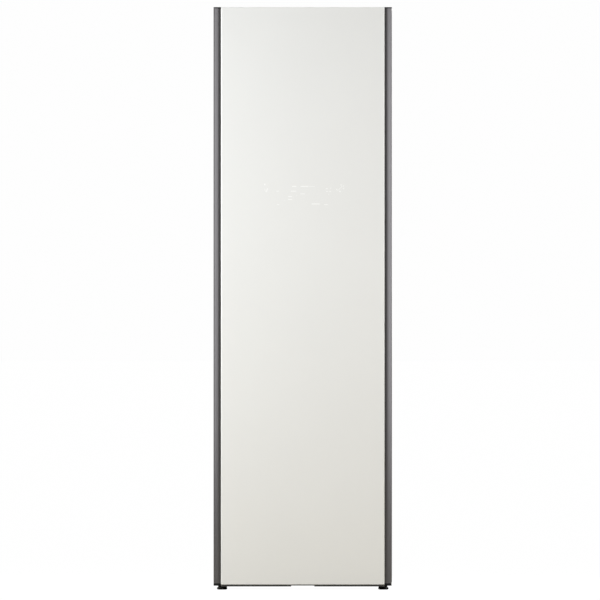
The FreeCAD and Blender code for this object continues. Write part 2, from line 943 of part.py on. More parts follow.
def door_liner():
    """Inner skin with its raised field, the press board's ears, the clip's seat and the catch's keeper."""
    sheet = block(
        (minus("grip_side - strip_return - seat_gap"), "half_wide - strip_return - seat_gap"),
        ("liner_front", "door_back"), ("door_floor", "door_roof"))
    field = block(wide("field_half"), ("liner_front", "field_face"), ("field_low", "field_high"))
    hollow = block(wide("field_half - liner_thick"), ("liner_front - overrun", "field_face - liner_thick"),
                   ("field_low + liner_thick", "field_high - liner_thick"))
    ears = [block(about("press_axis", "ear_thick"), ("field_face - overrun", "press_y + ear_thick"), span)
            for span in (
        ("press_high + running_gap", "press_high + running_gap + ear_thick"),
        ("press_low - running_gap - ear_thick", "press_low - running_gap"))]
    bores = rod("z", ("press_axis", "press_y"), "journal_radius + pin_fit",
                ("press_low - running_gap - ear_thick - overrun",
                        "press_high + running_gap + ear_thick + overrun"))
    clip_seat = block(wide("clip_half"), ("field_face - overrun", "field_face + clip_base"),
                      ("clip_height - clip_tall", "clip_height + clip_ear"))
    clip_ears = [block(across(side, "clip_half + running_gap", "clip_half + running_gap + clip_ear"),
                       ("field_face - overrun", "clip_y + clip_ear / 2"), about("clip_height",
                               "clip_ear")) for side in (-1, 1)]
    clip_bore = rod("x", ("clip_y", "clip_height"), "clip_pin + pin_fit", wide("clip_half + clip_ear * 2"))
    keeper_x = "press_edge - keeper_gap"
    tab_back = "press_face + running_gap + catch_thick"
    keeper_z = about("catch_height", "keeper_tall / 2")
    keeper_post = block((f"{keeper_x} - keeper_wide", keeper_x), ("field_face - overrun",
            f"{tab_back} + running_gap + catch_thick"),
                        keeper_z)
    keeper_hook = block((f"{keeper_x} - overrun", f"{keeper_x} + keeper_over"),
                        (f"{tab_back} + running_gap", f"{tab_back} + running_gap + catch_thick"), keeper_z)
    body = join(cut(join(sheet, field), hollow), *ears, clip_seat, *clip_ears, keeper_post, keeper_hook)
    return cut(body, bores, clip_bore)


def door_gasket():
    half = "half_wide - gasket_inset"
    low = "cabinet_rise + gasket_edge"
    high = "cabinet_high - gasket_edge"
    return ring(wide(half), ("door_back", "cabinet_front - running_gap"), (low, high),
                wide(f"{half} - gasket_wide"), (f"{low} + gasket_wide", f"{high} - gasket_wide"))


def hinge_bushes():
    """Two flanged bushes: the flange of each lies between its hinge arm and the door."""
    hole = "pin_radius + pin_fit"
    sleeve = f"{hole} + bush_wall"
    rim = f"{sleeve} + bush_rim"
    top = [(hole, minus("bush_tall")), (sleeve, minus("bush_tall")), (sleeve, "0"), (rim, "0"),
           (rim, "bush_flange"), (hole, "bush_flange")]
    foot = [(hole, minus("bush_flange")), (rim, minus("bush_flange")), (rim, "0"), (sleeve, "0"),
            (sleeve, "bush_tall"), (hole, "bush_tall")]
    return group(turned(top, "hinge_x", "hinge_y", "door_roof"), turned(foot, "hinge_x", "hinge_y",
            "door_floor"))


# ---- things carried by the door ----

def press_board():
    """Pressing board with a rounded hinge edge, a raised rim and two journals."""
    half = "press_thick / 2"
    body = pad("z", ("press_low", "press_high"), [[
        ("press_edge", "press_front"),
        ("press_axis", "press_front"),
        ("press_axis", "press_face", half, 1),
        ("press_edge", "press_face"),
    ]])
    rim = "press_thick"
    pocket(body, "y", ("press_face - press_recess", "press_face + overrun"), [rectangle(
        (f"press_edge + {rim}", f"press_axis - {rim}"), (f"press_low + {rim}", f"press_high - {rim}"))])
    stalk = block(about("catch_x", "catch_hub"), ("press_face - press_recess", "press_face"),
                  ("catch_height - catch_hub", "catch_height + catch_hub"))
    journals = rod("z", ("press_axis", "press_y"), "journal_radius",
                   ("press_low - running_gap - journal_long", "press_high + running_gap + journal_long"))
    bore = rod("y", ("catch_x", "catch_height"), "spindle_radius + pin_fit",
               ("press_face - spindle_long - running_gap", "press_face + overrun"))
    return cut(join(body, stalk, journals), bore)


def press_catch():
    back = "press_face + running_gap"
    face = (back, f"{back} + catch_thick")
    hub = rod("y", ("catch_x", "catch_height"), "catch_hub", face)
    tab = block(about("catch_x", "catch_wide / 2"), face, ("catch_height", "catch_height + catch_reach"))
    spindle = rod("y", ("catch_x", "catch_height"), "spindle_radius", ("press_face - spindle_long",
            f"{back} + overrun"))
    return join(hub, tab, spindle)


def hem_clip():
    face = about("clip_y", "clip_thick / 2")
    flap = block(wide("clip_half"), face, ("clip_height - clip_tall", "clip_height"))
    knuckle = rod("x", ("clip_y", "clip_height"), "clip_thick / 2", wide("clip_half"))
    pin = rod("x", ("clip_y", "clip_height"), "clip_pin", wide("clip_half + clip_ear"))
    return join(flap, knuckle, pin)


# ---- cabinet shell ----

def back_screw_places():
    """X and Z formulas of the screws along both edges of the back panel."""
    count = int(number("screw_count"))
    span = "(cover_low - cabinet_rise - screw_edge * 2)"
    return [(f"{side} * (shell_half - side_flange / 2)",
            f"cabinet_rise + screw_edge + {span} * {step} / {count - 1}")
            for side in (-1, 1) for step in range(count)]


def arm_screw_places():
    """X and Y formulas of the screws of one hinge arm."""
    near = "hinge_y + arm_pad_start + head_radius * 2"
    far = "hinge_y + arm_reach - head_radius * 2"
    inner = "hinge_x + arm_half - arm_pad_wide + head_radius * 2"
    return [(inner, near), (inner, far), ("hinge_x - arm_half", far)]


def back_holes():
    hole = "shank_radius + shank_fit"
    return [rod("y", place, hole, ("shell_back - overrun", "panel_back + overrun"))
            for place in back_screw_places()]


def side_panel(side):
    outline = [
        ("cabinet_half", "cabinet_front"),
        ("cabinet_half", "flange_back"),
        ("shell_half - side_flange", "flange_back"),
        ("shell_half - side_flange", "shell_back"),
        ("shell_half", "shell_back"),
        ("shell_half", "cabinet_front"),
    ]
    if side < 0:
        outline = [(minus(x), y) for x, y in outline]
    panel = pad("z", ("cabinet_rise", "cover_low"), [outline])
    return cut(panel, *back_holes())


def back_panel():
    """Rear sheet with a row of air slots in front of the machine bay and the mains cut-out."""
    body = pad("y", ("flange_back", "panel_back"),
            [rectangle(wide("cabinet_half"), ("cabinet_rise", "cover_low"))])
    slot = pocket(body, "y", ("flange_back - overrun", "panel_back + overrun"), [rectangle(
        ("louvre_place", "louvre_place + louvre_wide"), ("louvre_low", "louvre_low + louvre_tall"))])
    row_pattern(body, slot, "z", "louvre_count", "louvre_pitch * (louvre_count - 1)")
    socket = block(about(minus("inlet_x"), "inlet_wide / 2 + seat_gap"), ("flange_back - overrun",
            "panel_back + overrun"),
                   about("inlet_height", "inlet_tall / 2 + seat_gap"))
    return cut(body, socket, *back_holes())


def arm_holes(span):
    hole = "shank_radius + shank_fit"
    return [rod("z", place, hole, span) for place in arm_screw_places()]


def top_cover():
    sheet = block(wide("cabinet_half"), ("cabinet_front", "panel_back"), ("cover_low", "cabinet_high"))
    flanges = [block(across(side, "shell_half - sheet_thick - seat_gap", "shell_half - seat_gap"),
                     ("frame_back + seat_gap", "shell_back - seat_gap"), ("cover_low - cover_flange",
                             "cover_low")) for side in (-1, 1)]
    return cut(join(sheet, *flanges), *arm_holes(("cover_low - overrun", "cabinet_high + overrun")))


def base_pan():
    """Folded pan that carries the machine parts, with a threaded sleeve for each front foot."""
    outer = wide("shell_half - seat_gap")
    inner = wide("shell_half - seat_gap - base_thick")
    depth = ("cabinet_front + seat_gap", "shell_back - seat_gap")
    tray = cut(
        block(outer, depth, ("cabinet_rise", "cabinet_rise + base_flange")),
        block(inner, ("cabinet_front + seat_gap + base_thick", "shell_back - seat_gap - base_thick"),
              ("base_top", "cabinet_rise + base_flange + overrun")))
    feet = [(f"{side} * foot_place", "foot_y") for side in (-1, 1)]
    sleeves = [rod("z", spot, "stem_radius + pin_fit + sleeve_wall", ("cabinet_rise",
            "cabinet_rise + sleeve_tall")) for spot in feet]
    bores = [rod("z", spot, "stem_radius + pin_fit", ("cabinet_rise - overrun",
            "cabinet_rise + sleeve_tall + overrun")) for spot in feet]
    return cut(join(tray, *sleeves), *bores, *arm_holes(("cabinet_rise - overrun", "base_top + overrun")))


def front_frame():
    """Moulded frame around the chamber mouth and the tank bay, closing the foam at the front."""
    low = "cabinet_rise + base_flange + seat_gap"
    slab = block(wide("shell_half - seat_gap"), ("cabinet_front", "frame_back"), (low,
            "cover_low - seat_gap"))
    foot = block(wide("shell_half - seat_gap - base_thick - seat_gap"),
            ("cabinet_front + base_thick + seat_gap * 2", "frame_back"),
                 ("base_top + seat_gap", low))
    sleeves = [block(about(f"{side} * foot_place", "stem_radius + sleeve_wall + seat_gap * 2"),
                     about("foot_y", "stem_radius + sleeve_wall + seat_gap * 2"),
                     ("cabinet_rise", "cabinet_rise + sleeve_tall + overrun")) for side in (-1, 1)]
    chamber = block(wide("chamber_half"), ("cabinet_front - overrun", "frame_back + overrun"), ("chamber_low",
            "chamber_high"))
    bay = block(wide("bay_half"), ("cabinet_front - overrun", "frame_back + overrun"), ("bay_floor",
            "bay_roof"))
    return cut(join(slab, foot), chamber, bay, *sleeves)


def stem_slots(z):
    return [block(about(f"{side} * stem_place", "slot_x_half"), about("rail_y", "slot_y_half"), z)
            for side in (-1, 1)]


def insulation():
    """Foam between the outer skins and the chamber, open at the front and below."""
    slab = block(wide("shell_half - seat_gap"), ("frame_back + seat_gap",
            "panel_back - shank_long - seat_gap"),
                 ("plenum_high", "foam_high"))
    room = block(wide("chamber_half + panel_thick"), ("frame_back", "chamber_back + panel_thick"),
                 ("plenum_high - overrun", "chamber_high + panel_thick"))
    return cut(slab, room, *stem_slots(("chamber_high", "foam_high + overrun")))


def chamber_wall(side):
    """Side wall of the chamber with the moulded ledge that the shelf rests on."""
    wall = block(across(side, "chamber_half", "chamber_half + panel_thick"), ("frame_back",
            "chamber_back + panel_thick"),
                 ("chamber_low", "chamber_high"))
    ledge = block(across(side, "chamber_half - ledge_wide", "chamber_half + overrun"), ("shelf_front",
            "shelf_rear"),
                  ("ledge_top - ledge_thick", "ledge_top"))
    return join(wall, ledge)


def chamber_back():
    return block(wide("chamber_half"), ("chamber_back", "chamber_back + panel_thick"), ("chamber_low",
            "chamber_high"))


def chamber_ceiling():
    sheet = block(wide("chamber_half + panel_thick"), ("frame_back", "chamber_back + panel_thick"),
                  ("chamber_high", "chamber_high + panel_thick"))
    lamp = block(wide("lamp_wide / 2 - lamp_rim"), about("frame_back + lamp_inset",
            "lamp_deep / 2 - lamp_rim"),
                 ("chamber_high - overrun", "chamber_high + panel_thick + overrun"))
    return cut(sheet, lamp, *stem_slots(("chamber_high - overrun", "chamber_high + panel_thick + overrun")))


def outlet_x(index):
    return f"-coil_x - outlet_pitch * (outlet_count - 1) / 2 + outlet_pitch * {index}"


def chamber_floor():
    """Floor with the filter well, the aroma cup's slot, the air slots and the steam nozzle's hole.

    The well is closed below, so that the lint filter stands on its bottom."""
    deep = ("plenum_high", "chamber_low")
    through = ("plenum_high - overrun", "chamber_low + overrun")
    sheet = block(wide("chamber_half + panel_thick"), ("frame_back", "chamber_back + panel_thick"), deep)
    well = "filter_wide / 2 + filter_fit"
    well_floor = "filter_low - running_gap"
    half = "filter_thick / 2 + filter_fit"
    shell = block(wide(f"{well} + well_wall"), about("filter_y + filter_thick / 2", f"{half} + well_wall"),
            (f"{well_floor} - well_wall", "plenum_high"))
    inside = block(wide(well), about("filter_y + filter_thick / 2", half), (well_floor,
            "chamber_low + overrun"))
    window = block(wide(f"{well} - filter_frame"), about("filter_y + filter_thick / 2",
            f"{half} + well_wall + overrun"),
                   ("filter_low + filter_frame", "plenum_high - filter_frame"))
    cup_x = about("aroma_place", "aroma_wide / 2 + running_gap")
    cup = block(cup_x, about("filter_y + filter_thick / 2", "aroma_deep / 2 + running_gap"), through)
    outlets = [block(about(outlet_x(index), "outlet_slot / 2"), about("scroll_y + fan_wide / 2",
            "outlet_long / 2 - fan_wall * 2"), through)
               for index in range(int(number("outlet_count")))]
    steam = rod("z", ("boiler_x", "nozzle_y"), "steam_tube + seat_gap", through)
    return cut(join(sheet, shell), inside, window, cup, steam, *outlets)


def lamp_lens():
    rim = block(wide("lamp_wide / 2"), about("frame_back + lamp_inset", "lamp_deep / 2"),
            ("chamber_high - lamp_proud", "chamber_high"))
    plug = block(wide("lamp_wide / 2 - lamp_rim - seat_gap"), about("frame_back + lamp_inset",
            "lamp_deep / 2 - lamp_rim - seat_gap"),
                 ("chamber_high", "chamber_high + panel_thick"))
    return join(rim, plug)


def tank_bay():
    """Open-fronted moulding that the tanks slide into."""
    wall = "panel_thick"
    outer = block(wide(f"bay_half + {wall}"), ("frame_back", "bay_rear"), (f"bay_floor - {wall}",
            f"bay_roof + {wall}"))
    inner = block(wide("bay_half"), ("frame_back - overrun", "bay_back"), ("bay_floor", "bay_roof"))
    rib = block(wide("tank_space / 2 - running_gap * 2"), ("tank_front", "bay_back + overrun"),
            ("bay_floor - overrun",
            "bay_floor + tank_foot * 3"))
    return join(cut(outer, inner), rib)


# ---- hinge arms ----

def hinge_arm(low, high, pin):
    """Flat arm with a rounded nose, a wider pad on the cabinet and a staked pin."""
    right = "hinge_x + arm_half"
    left = "hinge_x - arm_half"
    pad_left = f"{right} - arm_pad_wide"
    rear = "hinge_y + arm_reach"
    shoulder = "hinge_y + arm_pad_start"
    plate = pad("z", (low, high), [[
        (right, "hinge_y", "arm_half", 1),
        (right, rear),
        (pad_left, rear),
        (pad_left, shoulder),
        (left, shoulder),
        (left, "hinge_y"),
    ]])
    return cut(join(plate, rod("z", ("hinge_x", "hinge_y"), "pin_radius", pin)),
            *arm_holes((f"{low} - overrun", f"{high} + overrun")))


def upper_hinge_arm():
    return hinge_arm("cabinet_high", "cabinet_high + arm_thick", ("cabinet_high - pin_long",
            "cabinet_high + overrun"))


def lower_hinge_arm():
    """The lower arm also lets the right foot's thread through."""
    arm = hinge_arm("cabinet_rise - arm_thick", "cabinet_rise", ("cabinet_rise - overrun",
            "cabinet_rise + pin_long"))
    return cut(arm, rod("z", ("foot_place", "foot_y"), "arm_foot_hole", ("cabinet_rise - arm_thick - overrun",
            "cabinet_rise + overrun")))


# ---- tanks ----

def tank_span(side, slack="0"):
    return across(side, f"tank_space / 2 + {slack}", f"tank_space / 2 + tank_wide - ({slack})")


def tank(side):
    """Open vessel with a pocket under the front edge for the fingers and two feet."""
    middle = f"{side} * (tank_space + tank_wide) / 2"
    round_off = "tank_round"
    x_low, x_high = tank_span(side)
    shell = pad("z", ("tank_low", "tank_high"), [[
        (f"{x_high} - {round_off}", "tank_front"),
        (x_high, f"tank_front + {round_off}", round_off, 1),
        (x_high, "tank_back"),
        (x_low, "tank_back"),
        (x_low, f"tank_front + {round_off}"),
        (f"{x_low} + {round_off}", "tank_front", round_off, 1),
    ]])
    hollow = block(tank_span(side, "tank_wall"), ("tank_front + tank_wall", "tank_back - tank_wall"),
            ("tank_low + tank_wall", "tank_high + overrun"))
    grip_z = ("tank_high - handle_drop - handle_tall", "tank_high - handle_drop")
    grip_box = block(about(middle, "handle_wide / 2 + tank_wall"), ("tank_front + tank_wall",
            "tank_front + handle_deep + tank_wall"),
                     (f"{grip_z[0]} - tank_wall", f"{grip_z[1]} + tank_wall"))
    grip = block(about(middle, "handle_wide / 2"), ("tank_front - overrun", "tank_front + handle_deep"),
            grip_z)
    corners = [block((end, f"{end} + tank_foot"), ("tank_front + tank_round", "tank_back - tank_round"),
            ("tank_low - tank_foot", "tank_low"))
               for end in (f"{x_low} + tank_round", f"{x_high} - tank_round - tank_foot")]
    vessel = cut(shell, hollow)
    return cut(join(vessel, grip_box, *corners), grip)


def tank_lid(side):
    """Lid that lies on the tank's rim, with a skirt inside it."""
    plate = block(tank_span(side), ("tank_front + tank_wall", "tank_back"), ("tank_high",
            "tank_high + lid_thick"))
    slack = "tank_wall + seat_gap"
    y = ("tank_front + handle_deep + tank_wall * 2 + seat_gap", f"tank_back - ({slack})")
    outer = block(tank_span(side, slack), y, ("tank_high - lid_rim", "tank_high"))
    inner = block(tank_span(side, f"{slack} + tank_wall"), (f"{y[0]} + tank_wall", f"{y[1]} - tank_wall"),
            ("tank_high - lid_rim - overrun", "tank_high"))
    return join(plate, cut(outer, inner))


# ---- pieces that lift out ----

def shelf():
    """Moulded shelf: a bed with long slots inside a deeper rim."""
    x = wide("shelf_half")
    y = ("shelf_front", "shelf_rear")
    top = "shelf_low + shelf_thick"
    body = pad("z", ("shelf_low", top), [rectangle(x, y)])
    pocket(body, "z", ("shelf_low + shelf_bed", f"{top} + overrun"),
           [rectangle(wide("shelf_half - shelf_rim"), ("shelf_front + shelf_rim", "shelf_rear - shelf_rim"))])
    pitch = "(shelf_half - shelf_rim * 2) * 2 / shelf_slot_count"
    first = f"-(shelf_half - shelf_rim * 2) + {pitch} / 2"
    middle = "(shelf_front + shelf_rear) / 2"
    slot = pocket(body, "z", ("shelf_low - overrun", "shelf_low + shelf_bed + overrun"),
                  [rectangle(about(first, "shelf_slot_wide / 2"), about(middle, "shelf_slot_long / 2"))])
    row_pattern(body, slot, "x", "shelf_slot_count", f"{pitch} * (shelf_slot_count - 1)")
    return body


def lint_filter():
    """Cassette: a frame with a thin mesh panel and a pull bar along its top."""
    y = ("filter_y", "filter_y + filter_thick")
    frame = ring(wide("filter_wide / 2"), y, ("filter_low", "filter_high"),
                 wide("filter_wide / 2 - filter_frame"), ("filter_low + filter_frame",
                         "filter_high - filter_frame * 2"))
    mesh = block(wide("filter_wide / 2 - filter_frame + overrun"), about("filter_y + filter_thick / 2",
            "mesh_thick / 2"),
                 ("filter_low + filter_frame - overrun", "filter_high - filter_frame * 2 + overrun"))
    finger = block(wide("pull_half"), about("filter_y + filter_thick / 2", "pull_deep_half"),
                   ("filter_high - filter_frame", "filter_high + overrun"))
    return cut(join(frame, mesh), finger)


def aroma_case():
    """Small cup for a scent sheet, hung by its rim in the chamber floor."""
    middle = "filter_y + filter_thick / 2"
    top = "chamber_low + aroma_proud"
    rim = block(about("aroma_place", "aroma_wide / 2 + cup_wall * 2"), about(middle,
            "aroma_deep / 2 + cup_wall * 2"),
                ("chamber_low + running_gap", top))
    cup = block(about("aroma_place", "aroma_wide / 2"), about(middle, "aroma_deep / 2"),
            (f"{top} - aroma_tall", top))
    inside = block(about("aroma_place", "aroma_wide / 2 - cup_wall"), about(middle,
            "aroma_deep / 2 - cup_wall"),
                   (f"{top} - aroma_tall + cup_wall", f"{top} + overrun"))
    return cut(join(rim, cup), inside)


# ---- hanger rail and its drive ----

def hook_centre(index):
    return f"hook_pitch * ({index} - (hook_count - 1) / 2)"


def hanger_rail():
    """Rail with five notches that hanger hooks drop into."""
    y = about("rail_y", "rail_wide / 2")
    bar = block(wide("rail_half"), y, ("rail_low", "hook_high"))
    notches = [block(about(hook_centre(index), "hook_gap / 2"), (f"{y[0]} - overrun", f"{y[1]} + overrun"),
            ("hook_low", "hook_high + overrun"))
               for index in range(int(number("hook_count")))]
    return cut(bar, *notches)


def hanger_carriage():
    """Plate with a cross slot for the crank pin, four sliders on the rods and two stems down to the rail."""
    plate = block(wide("carriage_half"), about("rail_y", "rod_spread + slider_half"), ("slider_high",
            "carriage_high"))
    sliders = [block(about(f"{side} * slider_place", "slider_long / 2"),
            about(f"rail_y + {row} * rod_spread", "slider_half"),
                     ("slider_low", "slider_high")) for side in (-1, 1) for row in (-1, 1)]
    bores = [rod("x", (f"rail_y + {row} * rod_spread", "rod_z"), "rod_radius + pin_fit",
            wide("carriage_half")) for row in (-1, 1)]
    stems = [block(about(f"{side} * stem_place", "stem_wide / 2"), about("rail_y", "stem_deep / 2"),
            ("hook_high", "slider_high")) for side in (-1, 1)]
    slot = block(wide("crank_pin + yoke_play"),
                 ("crank_y + crank_throw * cos(crank_swing * 1 deg) - crank_pin - yoke_play",
                         "crank_y + crank_throw + crank_pin + yoke_play"),
                 ("slider_high - overrun", "carriage_high + overrun"))
    return cut(join(plate, *sliders, *stems), slot, *bores)


def drive_bracket():
    """Pressed base with ears for the rods and a bridge that carries the motor."""
    base = block(wide("drive_half"), about("rail_y", "drive_deep / 2"), ("foam_high", "drive_top"))
    ears = [block(across(side, "rod_ear_place", "rod_ear_place + rod_ear_thick"),
            about(f"rail_y + {row} * rod_spread", "rod_ear_wide / 2"),
                  ("foam_high", "slider_high")) for side in (-1, 1) for row in (-1, 1)]
    outer = "drive_deep / 2 - bridge_wall"
    legs = block(wide("bridge_half"), about("rail_y", outer), ("foam_high", "bridge_high"))
    under = block(wide("bridge_half + overrun"), about("rail_y", f"{outer} - bridge_wall"), ("drive_top",
            "bridge_high - bridge_wall"))
    bores = [rod("x", (f"rail_y + {row} * rod_spread", "rod_z"), "rod_radius",
            wide("rod_ear_place + rod_ear_thick + overrun")) for row in (-1, 1)]
    hole = rod("z", ("0", "crank_y"), "shaft_radius * 2", ("bridge_high - bridge_wall - overrun",
            "bridge_high + overrun"))
    return cut(join(base, *ears, cut(legs, under)), hole, *bores,
            *stem_slots(("foam_high - overrun", "drive_top + overrun")))


def guide_rods():
    return group(*[rod("x", (f"rail_y + {row} * rod_spread", "rod_z"), "rod_radius",
                       wide("rod_ear_place + rod_ear_thick + rod_overhang")) for row in (-1, 1)])


def shake_motor():
    can = rod("z", ("0", "crank_y"), "motor_radius", ("bridge_high", "bridge_high + motor_tall"))
    shaft = rod("z", ("0", "crank_y"), "shaft_radius", ("crank_low", "bridge_high + overrun"))
    return join(can, shaft)


def crank_wheel():
    """Disc on the motor shaft with a pin that runs in the carriage's slot."""
    disc = rod("z", ("0", "crank_y"), "crank_disc", ("crank_low", "crank_high"))
    hub = rod("z", ("0", "crank_y"), "shaft_radius * 2", ("crank_low",
            "bridge_high - bridge_wall - yoke_play"))
    pin = rod("z", ("0", "crank_y + crank_throw"), "crank_pin", ("slider_high", "crank_low + overrun"))
    bore = rod("z", ("0", "crank_y"), "shaft_radius + pin_fit", ("crank_low - overrun", "bridge_high"))
    return cut(join(disc, hub, pin), bore)


# ---- machine bay ----

def compressor():
    """Round welded shell with domed ends on a foot plate, and its accumulator beside it."""
    radius = "compressor_radius"
    dome = "compressor_dome"
    neck = f"{radius} - {dome}"
    shell = turned([
        ("0", "0"), (neck, "0"), (radius, dome, dome, 1), (radius, f"compressor_tall - {dome}"),
        (neck, "compressor_tall", dome, 1), ("0", "compressor_tall"),
    ], "compressor_x", "compressor_y", "shell_low")
    plate = rod("z", ("compressor_x", "compressor_y"), "compressor_plate", ("mount_high", "shell_low"))
    flask = rod("z", ("accumulator_x", "accumulator_y"), "accumulator_radius",
            ("shell_low + compressor_dome", "shell_low + compressor_dome + accumulator_tall"))
    strap = block(("compressor_x + accumulator_radius", "accumulator_x"), ("accumulator_y",
            "compressor_y - compressor_radius / 2"),
                  about("shell_low + compressor_tall / 2", "accumulator_radius"))
    return join(shell, plate, flask, strap)


def mount_spot(step):
    angle = f"{step} * 360 / mount_count * 1 deg"
    return (f"compressor_x + mount_circle * cos({angle})", f"compressor_y + mount_circle * sin({angle})")


def compressor_mounts():
    return group(*[rod("z", mount_spot(step), "mount_radius", ("base_top", "mount_high"))
            for step in range(int(number("mount_count")))])


def coil(front):
    """Finned block: plates across a serpentine's straight tubes, between two end plates."""
    y = (front, f"{front} + coil_thick")
    left = "-coil_x - coil_half"
    count = int(number("fin_count"))
    step = f"(coil_half * 2 - base_thick) / {count}"
    fins = [block((f"{left} + {step} * {index}", f"{left} + {step} * {index} + base_thick"), y,
            ("coil_low", "coil_high"))
            for index in range(count + 1)]
    rows = [(across_row, up_row)
            for across_row in (f"{front} + tube_inset", f"{front} + coil_thick - tube_inset")
            for up_row in ("coil_low + tube_rise", "coil_mid", "coil_high - tube_rise")]
    tubes = [rod("x", row, "coil_tube", (left, f"{left} + coil_half * 2")) for row in rows]
    return join(*fins, *tubes)


def fan_scroll():
    """Round fan housing with an inlet ring and a duct up to the floor's air slots."""
    middle = ("-coil_x", "fan_z")
    span = ("scroll_y", "scroll_rear")
    inside = ("scroll_y + fan_wall", "scroll_rear - fan_wall")
    duct = about("-coil_x", "duct_half")
    outer = join(rod("y", middle, "scroll_radius + fan_wall", span),
                 block((f"{duct[0]} - fan_wall", f"{duct[1]} + fan_wall"), span, ("fan_z", "plenum_high")))
    hollow = join(rod("y", middle, "scroll_radius", inside), block(duct, inside, ("fan_z",
            "plenum_high + overrun")))
    inlet = rod("y", middle, "wheel_radius - blade_deep", ("scroll_y - overrun",
            "scroll_y + fan_wall + overrun"))
    shaft_hole = rod("y", middle, "fan_shaft * 2", ("scroll_rear - fan_wall - overrun",
            "scroll_rear + overrun"))
    return cut(outer, hollow, inlet, shaft_hole)


def fan_wheel():
    """Drum of upright blades between a back plate and a front ring, on a hub."""
    body = doc.addObject("PartDesign::Body", "FanWheel")
    plate = "fan_wall"
    rear = "wheel_wide"
    pad("y", (f"{rear} - {plate}", rear), [], [("0", "0", "wheel_radius")], body=body)
    pad("y", (f"{rear} - {plate} - wheel_hub_long", rear), [], [("0", "0", "wheel_hub_radius")],
            body=body)
    pad("y", ("0", plate), [], [("0", "0", "wheel_radius"), ("0", "0", "wheel_radius - blade_deep")],
            body=body)
    blade = body.newObject("PartDesign::Pad", "Blade")
    blade.Profile = sketch_on(body, "y", rear,
            [rectangle(("wheel_radius - blade_deep + blade_inset", "wheel_radius - blade_inset"),
                                                         about("0", "blade_thick / 2"))])
    bind(blade, "Length", rear)
    body.Tip = blade
    pattern = body.newObject("PartDesign::PolarPattern", "Blades")
    pattern.Originals = [blade]
    pattern.Axis = (next(f for f in body.Origin.OriginFeatures if f.Role == "Y_Axis"), [""])
    pattern.Angle = 360
    pattern.Occurrences = int(number("blade_count"))
    body.Tip = pattern
    pocket(body, "y", ("-1", f"{rear} + overrun"), [], [("0", "0", "fan_shaft + pin_fit")])
    bind(body, "Placement.Base.x", "-coil_x")
    bind(body, "Placement.Base.y", "wheel_y")
    bind(body, "Placement.Base.z", "fan_z")
    return body


def fan_motor():
    can = rod("y", ("-coil_x", "fan_z"), "fan_motor_radius", ("scroll_rear", "scroll_rear + fan_motor_long"))
    shaft = rod("y", ("-coil_x", "fan_z"), "fan_shaft", ("wheel_y + wheel_wide / 2", "scroll_rear + overrun"))
    return join(can, shaft)


def steam_generator():
    """Heater vessel on four legs, with a steam outlet on its lid."""
    x = about("boiler_x", "boiler_wide / 2")
    y = about("boiler_y", "boiler_deep / 2")
    vessel = block(x, y, ("boiler_low", "boiler_high"))
    band = block(about("boiler_x", "boiler_wide / 2 + panel_thick"), about("boiler_y",
            "boiler_deep / 2 + panel_thick"),
                 about("(boiler_low + boiler_high) / 2", "panel_thick"))
    legs = [rod("z", (f"boiler_x + {side} * (boiler_wide / 2 - boiler_leg_inset)",
            f"boiler_y + {row} * (boiler_deep / 2 - boiler_leg_inset)"),
                "boiler_leg_radius", ("base_top",
                        "boiler_low + overrun")) for side in (-1, 1) for row in (-1, 1)]
    return join(vessel, band, *legs)


def steam_pipe():
    """Pipe from the steam generator up to its nozzle in the chamber floor."""
    level = "boiler_high + steam_bend * 2"
    pipe = tube([("boiler_x", "boiler_y", "boiler_high"), ("boiler_x", "boiler_y", level),
                 ("boiler_x", "nozzle_y", level), ("boiler_x", "nozzle_y", "chamber_low + nozzle_tall")],
                "steam_tube", "steam_bend")
    head = rod("z", ("boiler_x", "nozzle_y"), "nozzle_radius", ("chamber_low", "chamber_low + nozzle_tall"))
    return join(pipe, head)


def water_pumps():
    """Two alike pumps behind the tank bay: feed and drain."""
    pumps = []
    for side in (-1, 1):
        middle = f"{side} * pump_place" if side < 0 else "pump_place + pump_wide"
        y = ("bay_rear + seat_gap", "bay_rear + seat_gap + pump_deep")
        head = block(about(middle, "pump_wide / 2"), y, ("base_top", "base_top + pump_tall"))
        motor = rod("y", (middle, "base_top + pump_tall / 2"), "pump_motor", (f"{y[1]} - overrun",
                f"{y[1]} + pump_motor_long"))
        pumps.append(join(head, motor))
    return group(*pumps)


def refrigerant_pipes():
    """Discharge, suction and capillary lines between the compressor and the two coils."""
    right = "-coil_x + coil_half"
    left = "-coil_x - coil_half"
    condenser = "condenser_y + tube_inset"
    evaporator = "evaporator_y + tube_inset"
    level = "coil_mid"
    high = "coil_high - tube_rise"
    discharge = tube([("compressor_x", "compressor_y", "shell_high"), ("compressor_x", "compressor_y", level),
                      ("compressor_x", condenser, level), (right, condenser,
                              level)], "copper_radius", "copper_bend")
    suction = tube([(right, evaporator, high), ("accumulator_x", evaporator, high), ("accumulator_x",
            "accumulator_y", high),
                    ("accumulator_x", "accumulator_y", "shell_low + compressor_dome + accumulator_tall")],
                   "copper_radius", "copper_bend")
    outside = f"{left} - copper_bend * 2"
    link = tube([(left, condenser, level), (outside, condenser, level), (outside, evaporator, level),
            (left, evaporator, level)],
                "copper_radius", "copper_bend")
    return group(discharge, suction, link)


def control_box():
    x = about(minus("control_place"), "control_wide / 2")
    y = ("rail_y + drive_deep / 2 + panel_thick", "rail_y + drive_deep / 2 + panel_thick + control_deep")
    case = block(x, y, ("foam_high", "foam_high + control_tall"))
    lid = block((f"{x[0]} - panel_thick", f"{x[1]} + panel_thick"), (f"{y[0]} - panel_thick / 2",
            f"{y[1]} + panel_thick"),
                ("foam_high + control_tall", "foam_high + control_tall + panel_thick"))
    return join(case, lid)


